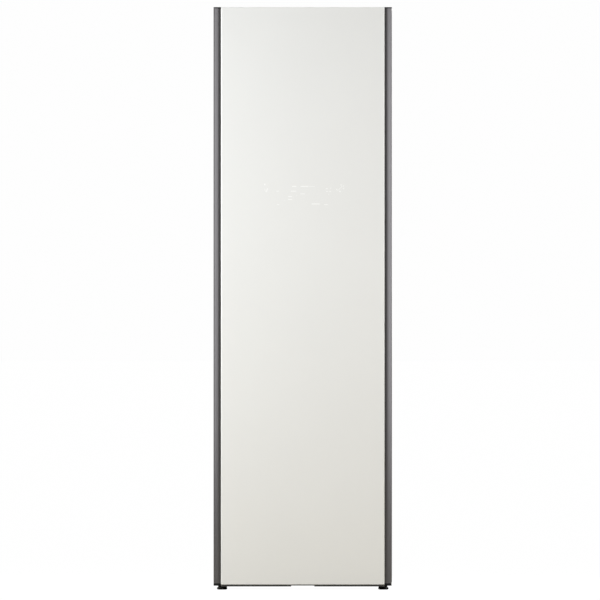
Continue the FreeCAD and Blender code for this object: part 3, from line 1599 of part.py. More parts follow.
def power_inlet():
    """Mains inlet: a sunk socket with three pins behind the back panel's cut-out."""
    x = minus("inlet_x")
    z = "inlet_height"
    rim = block(about(x, "inlet_wide / 2 + inlet_rim"), ("flange_back - panel_thick", "flange_back"),
            about(z, "inlet_tall / 2 + inlet_rim"))
    barrel = block(about(x, "inlet_wide / 2"), ("flange_back - inlet_deep", "panel_back"), about(z,
            "inlet_tall / 2"))
    socket = block(about(x, "inlet_wide / 2 - inlet_wall"), ("flange_back - inlet_deep + inlet_wall",
            "panel_back + overrun"),
                   about(z, "inlet_tall / 2 - inlet_wall"))
    pins = [block(about(f"{x} + {place} * inlet_wide / 4", "inlet_wall / 2"),
            ("flange_back - inlet_deep + overrun", "flange_back - inlet_wall"),
                  about(f"{z} + {lift} * inlet_wall", "inlet_wall")) for place, lift in ((-1, -1), (0,
                          1), (1, -1))]
    return join(cut(join(rim, barrel), socket), *pins)


# ---- feet and screws ----

def front_foot(side):
    """Levelling foot: a disc, a tapered boss and a thread up into the base pan's sleeve."""
    boss_top = "foot_tall + foot_boss_tall"
    return turned([
        ("0", "0"), ("foot_disc", "0"), ("foot_disc", "foot_tall"), ("foot_boss", "foot_tall"),
        ("foot_boss_top", boss_top), ("stem_radius", boss_top),
        ("stem_radius", "cabinet_rise + sleeve_tall - running_gap"), ("0",
                "cabinet_rise + sleeve_tall - running_gap"),
    ], f"{side} * foot_place", "foot_y", "0")


def rear_feet():
    return group(*[rod("z", (f"{side} * rear_foot_x", "rear_foot_y"), "rear_foot_radius", ("0",
            "cabinet_rise")) for side in (-1, 1)])


def panel_screws():
    """The screws of the back panel and of both hinge arms, all alike."""
    screws = []
    for place in back_screw_places():
        head = rod("y", place, "head_radius", ("panel_back", "rear_face"))
        screws.append(join(head, rod("y", place, "shank_radius", ("panel_back - shank_long",
                "panel_back + overrun"))))
    arm_top = "cabinet_high + arm_thick"
    arm_foot = "cabinet_rise - arm_thick"
    for place in arm_screw_places():
        upper = rod("z", place, "head_radius", (arm_top, f"{arm_top} + head_thick"))
        screws.append(join(upper, rod("z", place, "shank_radius", (f"{arm_top} - shank_long",
                f"{arm_top} + overrun"))))
        lower = rod("z", place, "head_radius", (f"{arm_foot} - head_thick", arm_foot))
        screws.append(join(lower, rod("z", place, "shank_radius", (f"{arm_foot} - overrun",
                f"{arm_foot} + shank_long"))))
    return group(*screws)


PIECES = {
    "door_glass": door_glass,
    "door_strip_left": lambda: door_strip(-1),
    "door_strip_right": lambda: door_strip(1),
    "grip_channel": grip_channel,
    "door_top_cap": door_top_cap,
    "door_bottom_cap": door_bottom_cap,
    "door_foam": door_foam,
    "door_liner": door_liner,
    "door_gasket": door_gasket,
    "display_board": display_place,
    "hinge_bushes": hinge_bushes,
    "press_board": press_board,
    "press_catch": press_catch,
    "hem_clip": hem_clip,
    "side_panel_left": lambda: side_panel(-1),
    "side_panel_right": lambda: side_panel(1),
    "back_panel": back_panel,
    "top_cover": top_cover,
    "base_pan": base_pan,
    "front_frame": front_frame,
    "insulation": insulation,
    "chamber_left_wall": lambda: chamber_wall(-1),
    "chamber_right_wall": lambda: chamber_wall(1),
    "chamber_back_wall": chamber_back,
    "chamber_ceiling": chamber_ceiling,
    "chamber_floor": chamber_floor,
    "lamp_lens": lamp_lens,
    "tank_bay": tank_bay,
    "upper_hinge_arm": upper_hinge_arm,
    "lower_hinge_arm": lower_hinge_arm,
    "supply_tank": lambda: tank(-1),
    "supply_tank_lid": lambda: tank_lid(-1),
    "drain_tank": lambda: tank(1),
    "drain_tank_lid": lambda: tank_lid(1),
    "shelf": shelf,
    "lint_filter": lint_filter,
    "aroma_case": aroma_case,
    "hanger_rail": hanger_rail,
    "hanger_carriage": hanger_carriage,
    "drive_bracket": drive_bracket,
    "guide_rods": guide_rods,
    "shake_motor": shake_motor,
    "crank_wheel": crank_wheel,
    "compressor": compressor,
    "compressor_mounts": compressor_mounts,
    "evaporator": lambda: coil("evaporator_y"),
    "condenser": lambda: coil("condenser_y"),
    "fan_scroll": fan_scroll,
    "fan_wheel": fan_wheel,
    "fan_motor": fan_motor,
    "steam_generator": steam_generator,
    "steam_pipe": steam_pipe,
    "water_pumps": water_pumps,
    "refrigerant_pipes": refrigerant_pipes,
    "control_box": control_box,
    "power_inlet": power_inlet,
    "front_foot_left": lambda: front_foot(-1),
    "front_foot_right": lambda: front_foot(1),
    "rear_feet": rear_feet,
    "panel_screws": panel_screws,
}

for name, make in PIECES.items():
    keep(name, make())
doc.recompute()

# Nothing is written unless every object is sound.
for item in doc.Objects:
    if "Invalid" in item.State or "Error" in item.State:
        raise RuntimeError(f"{item.Name} under {item.Label} failed: {item.State}")
for item in NODES:
    if item.Shape.isNull() or not item.Shape.isValid() or not item.Shape.Solids:
        raise RuntimeError(f"{item.Label} has no sound solid")

os.makedirs("parts", exist_ok=True)
for item in NODES:
    item.Shape.exportStep(f"parts/{item.Label}.step")
    print(f"{item.Label}: {len(item.Shape.Solids)} solid(s), {item.Shape.Volume / 1000:.1f} cm3")
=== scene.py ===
import json
import math

import bmesh
import bpy
import numpy as np
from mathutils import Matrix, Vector

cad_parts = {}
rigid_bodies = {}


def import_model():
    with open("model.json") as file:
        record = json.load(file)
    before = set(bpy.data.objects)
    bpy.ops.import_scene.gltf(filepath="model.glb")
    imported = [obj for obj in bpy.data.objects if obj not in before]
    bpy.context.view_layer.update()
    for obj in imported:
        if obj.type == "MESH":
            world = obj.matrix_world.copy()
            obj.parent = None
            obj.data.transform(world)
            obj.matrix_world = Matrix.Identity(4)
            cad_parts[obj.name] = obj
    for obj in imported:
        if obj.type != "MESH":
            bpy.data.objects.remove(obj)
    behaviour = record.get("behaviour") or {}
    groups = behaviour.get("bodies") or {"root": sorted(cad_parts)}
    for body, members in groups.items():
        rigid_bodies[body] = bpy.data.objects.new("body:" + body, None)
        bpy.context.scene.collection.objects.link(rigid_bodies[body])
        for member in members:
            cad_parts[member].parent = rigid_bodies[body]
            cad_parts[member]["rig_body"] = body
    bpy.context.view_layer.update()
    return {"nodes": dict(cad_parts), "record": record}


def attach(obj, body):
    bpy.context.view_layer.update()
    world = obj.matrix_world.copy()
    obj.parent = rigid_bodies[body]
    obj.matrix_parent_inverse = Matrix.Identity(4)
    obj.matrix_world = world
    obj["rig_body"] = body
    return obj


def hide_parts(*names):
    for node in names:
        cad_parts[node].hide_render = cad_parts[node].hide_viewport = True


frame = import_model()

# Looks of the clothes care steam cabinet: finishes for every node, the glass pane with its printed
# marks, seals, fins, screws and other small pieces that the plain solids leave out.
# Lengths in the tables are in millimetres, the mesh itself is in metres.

NODES = frame["nodes"]
MM = 0.001

# Planes and reaches that several pieces share.
HIGH = 1960.0                       # top of the whole
PANE_HALF, PANE_LOW = 275.3, 18.0   # glass pane: half its width, and its foot
PANE_FACE = -297.95                 # its front
STRIP_LOW, STRIP_HIGH = 22.0, 1956.0
ARM_ROOM = (-282.5, 26.0, 1948.0)   # pockets of the hinge arms: front, and the heights that they end at
CHAMBER_HALF, CHAMBER_LOW, CHAMBER_HIGH, CHAMBER_BACK = 262.0, 372.0, 1822.0, 255.0
FRAME_FRONT = -226.0                # front of the painted frame
FIELD_FACE, LINER_FACE = -218.0, -238.0
BACK_SHEET = 296.5                  # outside of the back panel
FOOT_X, FOOT_Y = 271.5, -200.0
TANK_X, TANK_FACE = 112.0, -196.0


# ---- mesh helpers ----

def put_mesh(name, points, faces, finish, body, smooth=True):
    """One mesh object at the origin from an (n, 3) array in mm and a list of faces, riding on a body."""
    mesh = bpy.data.meshes.new(name)
    mesh.from_pydata((np.asarray(points, float) * MM).tolist(), [], [list(map(int, f)) for f in faces])
    mesh.update()
    piece = bpy.data.objects.new(name, mesh)
    bpy.context.scene.collection.objects.link(piece)
    mesh.materials.append(finish)
    if smooth:
        mesh.shade_smooth()
        mesh.set_sharp_from_angle(angle=math.radians(32))
    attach(piece, body)
    return piece


def outward(piece):
    """Turns the faces of a closed shell outwards."""
    shell = bmesh.new()
    shell.from_mesh(piece.data)
    bmesh.ops.remove_doubles(shell, verts=shell.verts, dist=1e-7)
    bmesh.ops.recalc_face_normals(shell, faces=shell.faces)
    shell.to_mesh(piece.data)
    shell.free()
    return piece


def grid_faces(rows, columns, close_rows=False):
    """Quads between neighbours of a grid. Its last column meets its first, and its last row may as well."""
    r = np.arange(rows if close_rows else rows - 1)[:, None]
    c = np.arange(columns)[None, :]
    after_r, after_c = (r + 1) % rows, (c + 1) % columns
    corners = [r * columns + c, r * columns + after_c, after_r * columns + after_c, after_r * columns + c]
    return np.stack(np.broadcast_arrays(*corners), -1).reshape(-1, 4).tolist()


def six_sides(count):
    """Faces of so many boxes, each with four corners on one side and then the same four on the other."""
    sides = np.array([(0, 3, 2, 1), (4, 5, 6, 7), (0, 1, 5, 4), (1, 2, 6, 5), (2, 3, 7, 6), (3, 0, 4, 7)])
    return (sides[None] + 8 * np.arange(count)[:, None, None]).reshape(-1, 4).tolist()


def loft(name, rings, finish, body, closed=False):
    """Skin over rings, an (m, n, 3) array whose rings each close on themselves, with flat ends."""
    rings = np.asarray(rings, float)
    m, n = rings.shape[:2]
    faces = grid_faces(m, n, closed)
    if not closed:
        faces += [list(range(n)), list(range((m - 1) * n, m * n))]
    return outward(put_mesh(name, rings.reshape(-1, 3), faces, finish, body))


def rounded_rectangle(x0, x1, z0, z1, radius):
    """Outline with quarter-circle corners: each corner's centre plus radius times (cos t, sin t)."""
    t = np.linspace(0, math.pi / 2, 6)
    centres = np.array([(x1, z1, 0), (x0, z1, 1), (x0, z0, 2), (x1, z0, 3)], float)
    out = []
    for x, z, quarter in centres:
        cx = x - radius * (1 if x == x1 else -1)
        cz = z - radius * (1 if z == z1 else -1)
        a = t + quarter * math.pi / 2
        out.append(np.stack([cx + radius * np.cos(a), cz + radius * np.sin(a)], -1))
    return np.concatenate(out)


def panel_rings(outline_of, profile):
    """Rings of a pressed panel: for each (inset, y) of the profile, the outline drawn in by inset at y."""
    rings = []
    for inset, y in profile:
        flat = outline_of(inset)
        rings.append(np.stack([flat[:, 0], np.full(len(flat), y), flat[:, 1]], -1))
    return np.array(rings)


# ---- material helpers ----

class Finish:
    """A Principled finish with chains of Object-coordinate textures for colour, roughness and relief."""

    def __init__(self, name, colour, roughness, metallic=0.0, **sockets):
        self.material = bpy.data.materials.new(name)
        self.material.use_nodes = True
        self.tree = self.material.node_tree
        self.shader = self.tree.nodes["Principled BSDF"]
        self.shader.inputs["Base Color"].default_value = (*colour[:3], 1)
        self.shader.inputs["Roughness"].default_value = roughness
        self.shader.inputs["Metallic"].default_value = metallic
        for key, value in sockets.items():
            self.shader.inputs[key.replace("_", " ")].default_value = value
        self.colour = colour
        self.place = None

    def node(self, kind, **values):
        """A new node of the material, with its properties set."""
        made = self.tree.nodes.new(kind)
        for key, value in values.items():
            setattr(made, key, value)
        return made

    def link(self, source, target):
        self.tree.links.new(source, target)

    def spot(self, stretch=(1, 1, 1)):
        """Object coordinates, squeezed by stretch along each axis."""
        if self.place is None:
            self.place = self.node("ShaderNodeTexCoord").outputs["Object"]
        if tuple(stretch) == (1, 1, 1):
            return self.place
        mapping = self.node("ShaderNodeMapping")
        mapping.inputs["Scale"].default_value = stretch
        self.link(self.place, mapping.inputs["Vector"])
        return mapping.outputs["Vector"]

    def noise(self, scale, detail=3.0, stretch=(1, 1, 1)):
        """Cloudy texture, scale of its waves to the metre."""
        texture = self.node("ShaderNodeTexNoise")
        texture.inputs["Scale"].default_value = scale
        texture.inputs["Detail"].default_value = detail
        self.link(self.spot(stretch), texture.inputs["Vector"])
        return texture.outputs["Fac"]

    def cells(self, scale, output="Distance"):
        """Cells round scattered points: how far off the point is, or a colour for each cell."""
        texture = self.node("ShaderNodeTexVoronoi")
        texture.inputs["Scale"].default_value = scale
        self.link(self.spot(), texture.inputs["Vector"])
        return texture.outputs[output]

    def waves(self, scale, direction):
        """Even ridges that follow each other along one axis."""
        texture = self.node("ShaderNodeTexWave", bands_direction=direction)
        texture.inputs["Scale"].default_value = scale
        self.link(self.spot(), texture.inputs["Vector"])
        return texture.outputs["Fac"]

    def spread(self, source, low, high):
        """Carries a texture's middle values, 0.3 to 0.7, to low..high."""
        ramp = self.node("ShaderNodeMapRange")
        for key, value in zip(("From Min", "From Max", "To Min", "To Max"), (0.3, 0.7, low, high)):
            ramp.inputs[key].default_value = value
        self.link(source, ramp.inputs["Value"])
        return ramp.outputs["Result"]

    def tint(self, source, first, second, start=0.3, stop=0.7):
        """Base colour runs from first to second with a texture."""
        ramp = self.node("ShaderNodeValToRGB")
        ramp.color_ramp.elements[0].position = start
        ramp.color_ramp.elements[0].color = (*first[:3], 1)
        ramp.color_ramp.elements[1].position = stop
        ramp.color_ramp.elements[1].color = (*second[:3], 1)
        self.link(source, ramp.inputs["Fac"])
        self.link(ramp.outputs["Color"], self.shader.inputs["Base Color"])
        return self

    def mottle(self, amount, scale, detail=3.0):
        """Lightens and darkens the base colour by amount with a noise."""
        colour = np.array(self.colour[:3])
        light = np.minimum(colour * (1 + amount), 1)
        return self.tint(self.noise(scale, detail), colour * (1 - amount), light)

    def wear(self, low, high, scale, detail=4.0, stretch=(1, 1, 1)):
        """Roughness between low and high with a noise."""
        spread = self.spread(self.noise(scale, detail, stretch=stretch), low, high)
        self.link(spread, self.shader.inputs["Roughness"])
        return self

    def relief(self, source, depth, strength=1.0):
        """Bump of the given depth in mm, laid over any relief made before."""
        bump = self.node("ShaderNodeBump")
        bump.inputs["Distance"].default_value = depth * MM
        bump.inputs["Strength"].default_value = strength
        self.link(source, bump.inputs["Height"])
        normal = self.shader.inputs["Normal"]
        if normal.links:
            self.link(normal.links[0].from_socket, bump.inputs["Normal"])
        self.link(bump.outputs["Normal"], normal)
        return self


# ---- finishes, one for each of the record's material slots ----

def coated_glass():
    """White enamel seen through glass: a very faint cloud in the enamel under a clear, hard gloss."""
    glass = Finish("coated_glass", (0.85, 0.85, 0.845), 0.42, Coat_Weight=1.0, Coat_Roughness=0.03, IOR=1.5)
    glass.mottle(0.006, 3, 2)
    glass.relief(glass.noise(9, 1), 0.02)
    return glass


def ground_edge():
    """Frosted, whiter edge of the glass where it was ground: partly the real frosted edge, partly a painted
    highlight for the light the edge catches.
    """
    edge = Finish("ground_edge", (0.97, 0.975, 0.97), 0.4, Coat_Weight=0.8, Coat_Roughness=0.15)
    edge.mottle(0.01, 200)
    edge.relief(edge.noise(2500, 2), 0.01)
    return edge


def brushed_strip():
    """Dark anodised aluminium, brushed lengthwise: hair lines a few tenths of a millimetre apart."""
    strip = Finish("brushed_strip", (0.124, 0.121, 0.128), 0.37, 0.85)
    hairs = strip.noise(900, 2, stretch=(1, 1, 0.004))
    strip.tint(hairs, (0.114, 0.111, 0.118), (0.134, 0.131, 0.138))
    strip.wear(0.33, 0.41, 700, 2, stretch=(1, 1, 0.004))
    strip.relief(hairs, 0.012)
    return strip


def moulded(name, colour, roughness=0.5, grain=900, depth=0.02, amount=0.04, gloss=0.5):
    """Moulded plastic: fine leather-like grain with slight clouds in the colour."""
    plastic = Finish(name, colour, roughness, Specular_IOR_Level=gloss)
    plastic.mottle(amount, 14)
    plastic.wear(roughness - 0.06, roughness + 0.06, 40)
    plastic.relief(plastic.cells(grain), depth)
    return plastic


def painted(name, colour, roughness=0.42):
    """Powder paint: orange-peel relief, with slight clouds in its colour and gloss."""
    paint = Finish(name, colour, roughness)
    paint.mottle(0.025, 7, 5)
    paint.wear(roughness - 0.05, roughness + 0.07, 22)
    paint.relief(paint.noise(260, 2), 0.012)
    return paint


def zinc_sheet():
    """Galvanised sheet: flat crystals of slightly different grey with a soft sheen."""
    zinc = Finish("zinc_sheet", (0.64, 0.65, 0.66), 0.42, 0.8)
    zinc.tint(zinc.cells(110, output="Color"), (0.60, 0.61, 0.625), (0.70, 0.71, 0.72), 0.1, 0.9)
    zinc.wear(0.34, 0.52, 60)
    zinc.relief(zinc.noise(420, 3), 0.008)
    return zinc


def foam_block():
    """Blown foam: closed cells about a millimetre across, yellowed in clouds."""
    foam = Finish("foam_block", (0.80, 0.72, 0.48), 0.9)
    foam.mottle(0.10, 9, 5)
    foam.relief(foam.cells(700), 0.5, 0.8)
    return foam


def clear_lens():
    """Milky plastic of the lamp's cover, slightly uneven."""
    lens = Finish("clear_lens", (0.93, 0.93, 0.90), 0.34, Transmission_Weight=0.3, IOR=1.49)
    lens.mottle(0.02, 30)
    lens.relief(lens.noise(300, 2), 0.02)
    lens.wear(0.28, 0.4, 60)
    return lens


def smoked_tank():
    """Smoke-grey clear plastic of the water tanks, with flow lines from moulding."""
    tank = Finish("smoked_tank", (0.33, 0.37, 0.41), 0.16, Transmission_Weight=0.45, IOR=1.49,
                  Coat_Weight=0.4, Coat_Roughness=0.05)
    tank.mottle(0.05, 12, 2)
    tank.wear(0.12, 0.22, 30, 2)
    tank.relief(tank.noise(18, 1, stretch=(1, 1, 0.3)), 0.06)
    return tank


def fin_sheet():
    """Heat exchanger foil: thin bright plates side by side."""
    fins = Finish("fin_sheet", (0.72, 0.73, 0.74), 0.32, 0.95)
    fins.mottle(0.06, 45, 3)
    fins.wear(0.25, 0.45, 80)
    fins.relief(fins.waves(150, "Z"), 0.1)
    return fins


def copper_tube():
    """Drawn copper with brown tarnish clouds."""
    copper = Finish("copper_tube", (0.78, 0.42, 0.26), 0.3, 1.0)
    copper.tint(copper.noise(28, 5), (0.55, 0.26, 0.15), (0.85, 0.47, 0.30), 0.35, 0.6)
    copper.wear(0.22, 0.45, 35)
    copper.relief(copper.noise(500, 2), 0.01)
    return copper


def ironing_cloth():
    """Heat-proof cloth of the press: plain weave, threads 0.8 mm apart both ways."""
    cloth = Finish("ironing_cloth", (0.30, 0.31, 0.33), 0.85, Sheen_Weight=0.3)
    cloth.tint(cloth.noise(600, 2), (0.24, 0.25, 0.27), (0.35, 0.36, 0.38))
    cloth.relief(cloth.waves(390, "X"), 0.12)
    cloth.relief(cloth.waves(390, "Z"), 0.12)
    return cloth


FINISHES = {
    "white_glass": coated_glass().material,
    "ground_edge": ground_edge().material,
    "strip_metal": brushed_strip().material,
    "dark_trim": moulded("dark_trim", (0.042, 0.041, 0.042), 0.45).material,
    "foam": foam_block().material,
    "liner_white": moulded("liner_white", (0.76, 0.77, 0.77), 0.34, 1100, 0.01, 0.015).material,
    "liner_grey": moulded("liner_grey", (0.30, 0.31, 0.32), 0.45).material,
    "seal_rubber": moulded("seal_rubber", (0.20, 0.20, 0.205), 0.62, 1500, 0.01).material,
    "circuit_green": moulded("circuit_green", (0.02, 0.16, 0.07), 0.3, 300, 0.03).material,
    "bush_plastic": moulded("bush_plastic", (0.76, 0.74, 0.68), 0.4).material,
    "press_cloth": ironing_cloth().material,
    "shell_paint": painted("shell_paint", (0.66, 0.66, 0.65)).material,
    "zinc_steel": zinc_sheet().material,
    "lamp_clear": clear_lens().material,
    "tank_smoke": smoked_tank().material,
    "rail_grey": moulded("rail_grey", (0.16, 0.165, 0.17), 0.4).material,
    "black_paint": painted("black_paint", (0.02, 0.02, 0.021), 0.36).material,
    "fin_aluminium": fin_sheet().material,
    "copper": copper_tube().material,
    "grey_plastic": moulded("grey_plastic", (0.42, 0.42, 0.42), 0.5).material,
    "seal_black": moulded("seal_black", (0.008, 0.008, 0.009), 0.6, 1500, 0.01, gloss=0.15).material,
    "foot_black": moulded("foot_black", (0.008, 0.008, 0.008), 0.6, gloss=0.25).material,
}


def dress_nodes():
    """Every carried-over solid takes the finish of its slot."""
    for entry in frame["record"]["subparts"]:
        mesh = NODES[entry["node"]].data
        mesh.materials.clear()
        mesh.materials.append(FINISHES[entry["material_slot"]])


dress_nodes()


# ---- glass pane and its printed marks ----

def glass_pane():
    """Pane 550.6 by 1942 mm: sides ground off 3.6 wide and 1.8 deep, foot and head nearly square."""
    def outline(insets):
        inset, low = insets
        half = PANE_HALF - inset
        return rounded_rectangle(-half, half, PANE_LOW + low, HIGH - inset * 0.26, 1.5)
    profile = [((0.4, 0.4), -293.0), ((0.0, 0.0), -293.4), ((0.0, 0.0), -295.9), ((0.1, 0.02), -296.08),
               ((0.3, 0.05), -296.2), ((3.3, 0.25), -297.7), ((3.6, 0.5), -297.82), ((4.1, 1.2), -297.93),
               ((4.7, 4.9), PANE_FACE)]
    pane = loft("door_pane", panel_rings(outline, profile), FINISHES["white_glass"], "door")
    pane.data.materials.append(FINISHES["ground_edge"])
    middles = np.empty(3 * len(pane.data.polygons))
    pane.data.polygons.foreach_get("center", middles)
    x, y, z = middles.reshape(-1, 3).T / MM
    # Faces of the ground edge take the whiter finish, a painted highlight along the pane's sides, foot and
    # head.
    ground_edge_highlight = (y > -297.85) & (y < -295) & ((abs(x) > 271.6) | (z < 22.5) | (z > 1959))
    pane.data.polygons.foreach_set("material_index", ground_edge_highlight.astype(np.int32))
    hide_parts("door_glass")


def mark_finish():
    """White print, a little brighter than the enamel behind it."""
    ink = Finish("print_white", (0.98, 0.98, 0.98), 0.5, Coat_Weight=1.0, Coat_Roughness=0.03)
    ink.mottle(0.01, 300)
    return ink.material


def printed_marks():
    """Display marks on the glass: dots, dashes and plain signs, as tiles of ink 0.03 mm proud."""
    tiles = []

    def tile(x0, x1, z0, z1):
        tiles.append([(x0, z0), (x1, z0), (x1, z1), (x0, z1)])

    def stroke(x0, z0, x1, z1, width):
        along = np.array([x1 - x0, z1 - z0], float)
        side = np.array([-along[1], along[0]]) / np.hypot(*along) * width / 2
        ends = np.array([(x0, z0), (x1, z1)], float)
        tiles.append([ends[0] - side, ends[1] - side, ends[1] + side, ends[0] + side])

    dashes = [(-36, -22, 1357, 3), (-7, 19, 1357, 3), (21, 41, 1357, 1.2), (-88, -80, 1341, 2),
              (-40, -22, 1341, 2.4), (-8, 7, 1332, 2.2), (-49, -36, 1323, 2.6), (-49, -36, 1313, 2.6),
              (-86, -79, 1296, 2), (30, 57, 1298, 3), (72, 85, 1296, 2.4)]
    for x0, x1, z, tall in dashes:
        tile(x0, x1, z - tall / 2, z + tall / 2)
    for x, z in [(-20, 1327), (4, 1320), (48, 1330), (-62, 1310), (14, 1304)]:
        tile(x - 0.8, x + 0.8, z - 0.8, z + 0.8)
    tile(-130, -125.4, 1361.5, 1366)
    stroke(-118.5, 1351, -122, 1338, 2.6)
    stroke(-128, 1350, -125, 1338, 1.2)
    for x, z, wide in [(81, 1349.5, 6), (82, 1340, 6), (92, 1340, 6), (87.4, 1330, 2), (94, 1351, 3)]:
        tile(x - wide / 2, x + wide / 2, z - 1.4, z + 1.4)
    stroke(117, 1342, 133, 1358, 1.4)
    for x, z, wide in [(114, 1347, 4), (129, 1362, 4), (137, 1358, 3), (137, 1350, 4), (125, 1340, 6)]:
        tile(x - wide / 2, x + wide / 2, z - 1.8, z + 1.8)
    flat = np.array(tiles)
    front = np.stack([flat[..., 0], np.full(flat.shape[:2], PANE_FACE - 0.03), flat[..., 1]], -1)
    points = np.concatenate([front, front + (0, 0.1, 0)], axis=1).reshape(-1, 3)
    faces = six_sides(len(flat))
    outward(put_mesh("display_marks", points, faces, mark_finish(), "door", smooth=False))


glass_pane()
printed_marks()


# ---- side strips and their seals ----

def arc(cx, cy, radius, start, stop, steps):
    """Points of a circle: centre plus radius times (cos t, sin t), t from start to stop degrees."""
    t = np.radians(np.linspace(start, stop, steps))
    return np.stack([cx + radius * np.cos(t), cy + radius * np.sin(t)], -1)


def upright(name, section, finish, body, side):
    """A section in X and Y carried straight up along a strip's height, mirrored for the left side."""
    flat = np.asarray(section, float) * (side, 1)
    rings = [np.column_stack([flat, np.full(len(flat), z)]) for z in (STRIP_LOW, STRIP_HIGH)]
    return loft(name, rings, finish, body)


def pocketed(name, section, cut, heights, finish, body):
    """A section carried up through four heights, its part behind cut only between the middle two."""
    behind = np.flatnonzero(section[:, 1] > cut)
    first, last = behind[0], behind[-1]

    def meet(i, j):
        share = (cut - section[i, 1]) / (section[j, 1] - section[i, 1])
        return section[i] + share * (section[j] - section[i])

    ring = np.vstack([section[:first], meet(first - 1, first), section[first:last + 1],
                      meet(last, last + 1), section[last + 1:]])
    n, a, b = len(ring), first, last + 2
    points = np.vstack([np.column_stack([ring, np.full(n, z)]) for z in heights])
    walls = np.array(grid_faces(4, n)).reshape(3, n, 4)
    front = np.r_[0:a, b:n]
    faces = [*walls[1], *walls[0, front], *walls[2, front]]
    faces += [np.array([a, b, n + b, n + a]) + level * n for level in (0, 2)]
    faces += [np.r_[0:a + 1, b:n] + level * n for level in (0, 3)]
    faces += [np.arange(a, b + 1) + level * n for level in (1, 2)]
    used = np.unique(np.concatenate(faces))
    number = np.zeros(4 * n, int)
    number[used] = np.arange(len(used))
    return outward(put_mesh(name, points[used], [number[face] for face in faces], finish, body))


def side_strip(side):
    """Drawn strip: seat for the glass, 22.5 mm quarter round and side wall.

    The left one turns in at its back. The right one leaves pockets at its ends for the hinge arms."""
    outer = np.vstack([[(263.5, -291), (263.5, -293), (277.4, -293), (277.4, -297.5)],
                       arc(277.9, -297.5, 0.5, 180, 270, 4), arc(277.5, -275.5, 22.5, -89, 0, 26)])
    if side > 0:
        back = [(300, -238.4), (299.6, -238), (296, -238), (296, -240), (298, -240)]
    else:
        back = [(300, -262.4), (299.6, -262), (284, -262), (284, -264), (298, -264)]
    inner = np.vstack([arc(277.5, -275.5, 20.5, 0, -84, 16), [(279.4, -291)]])
    section = np.vstack([outer, back, inner])
    metal = FINISHES["strip_metal"]
    if side < 0:
        strip = upright("strip_left", section, metal, "door", side)
        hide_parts("door_strip_left")
    else:
        cut, floor_height, roof_height = ARM_ROOM
        heights = (STRIP_LOW, floor_height, roof_height, STRIP_HIGH)
        strip = pocketed("strip_right", section, cut, heights, metal, "door")
        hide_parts("door_strip_right")


def glass_seal_and_shade(side):
    """Black bead 1.9 mm wide between the glass and its strip, its face rounded and set back 1.2 mm: a seal
    whose black also paints the shade of the gap there.
    """
    face = arc(276.4, -295.9, 0.95, 180, 360, 7)
    section = np.vstack([[(277.35, -293.2), (275.45, -293.2)], face])
    name = "seal_and_shade_left" if side < 0 else "seal_and_shade_right"
    # The black finish stands in for the shade in the gap: painted shade.
    upright(name, section, FINISHES["seal_black"], "door", side)


def door_seal():
    """Magnetic seal: a bellows section carried round the door, closed on itself."""
    def outline(inset):
        return rounded_rectangle(-281 + inset, 281 - inset, 33 + inset, 1941 - inset, 9)
    section = [(1.5, -238.0), (13, -238.0), (13.4, -236.6), (10.4, -235.2), (12.6, -233.4), (10.2, -231.9),
               (13.6, -230.8), (14, -229.6), (13.8, -226.6), (13.2, -226.3), (0.8, -226.3), (0.2, -226.6),
               (0, -229.6), (0.4, -230.8), (3.8, -231.9), (1.4, -233.4), (3.6, -235.2), (0.6, -236.6)]
    seal = loft("bellows_seal", panel_rings(outline, section), FINISHES["seal_rubber"], "door",
                closed=True)
    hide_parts("door_gasket")


# ---- feet ----

def lathe(name, profile, centre, finish, body, steps=48, axis="z"):
    """Turned piece: each (radius, height) of the profile spun about an axis through centre."""
    profile = np.asarray(profile, float)
    t = np.linspace(0, 2 * math.pi, steps, endpoint=False)
    r, h = profile[:, :1], profile[:, 1:]
    around = np.stack([r * np.cos(t), r * np.sin(t), np.broadcast_to(h, (len(profile), steps))], -1)
    order = {"z": [0, 1, 2], "y": [0, 2, 1]}[axis]
    return loft(name, around[:, :, order] + np.asarray(centre, float), finish, body)


def foot_thread(name, centre, body):
    """Rolled thread: root radius plus depth times a triangle wave of height over pitch less the turn."""
    root, depth, pitch = 4.55, 0.4, 1.5
    t = np.linspace(0, 2 * math.pi, 28, endpoint=False)[None, :]
    h = np.linspace(16.4, 47.6, 180)[:, None]
    phase = (h / pitch - t / (2 * math.pi)) % 1
    r = root + depth * (1 - np.abs(2 * phase - 1))
    rings = np.stack([r * np.cos(t), r * np.sin(t), np.broadcast_to(h, r.shape)], -1) + centre
    return loft(name, rings, FINISHES["zinc_steel"], body)


def hexagon(name, across, low, high, centre, finish, body):
    """Six-sided nut, one flat to the front, whose corners are taken off at both ends."""
    t = np.radians(np.arange(0, 360, 60))
    outline = ((across * 0.93, low), (across, low + 0.8), (across, high - 0.8), (across * 0.93, high))
    rings = [np.stack([r * np.cos(t), r * np.sin(t), np.full(6, h)], -1) + centre for r, h in outline]
    return loft(name, rings, finish, body)


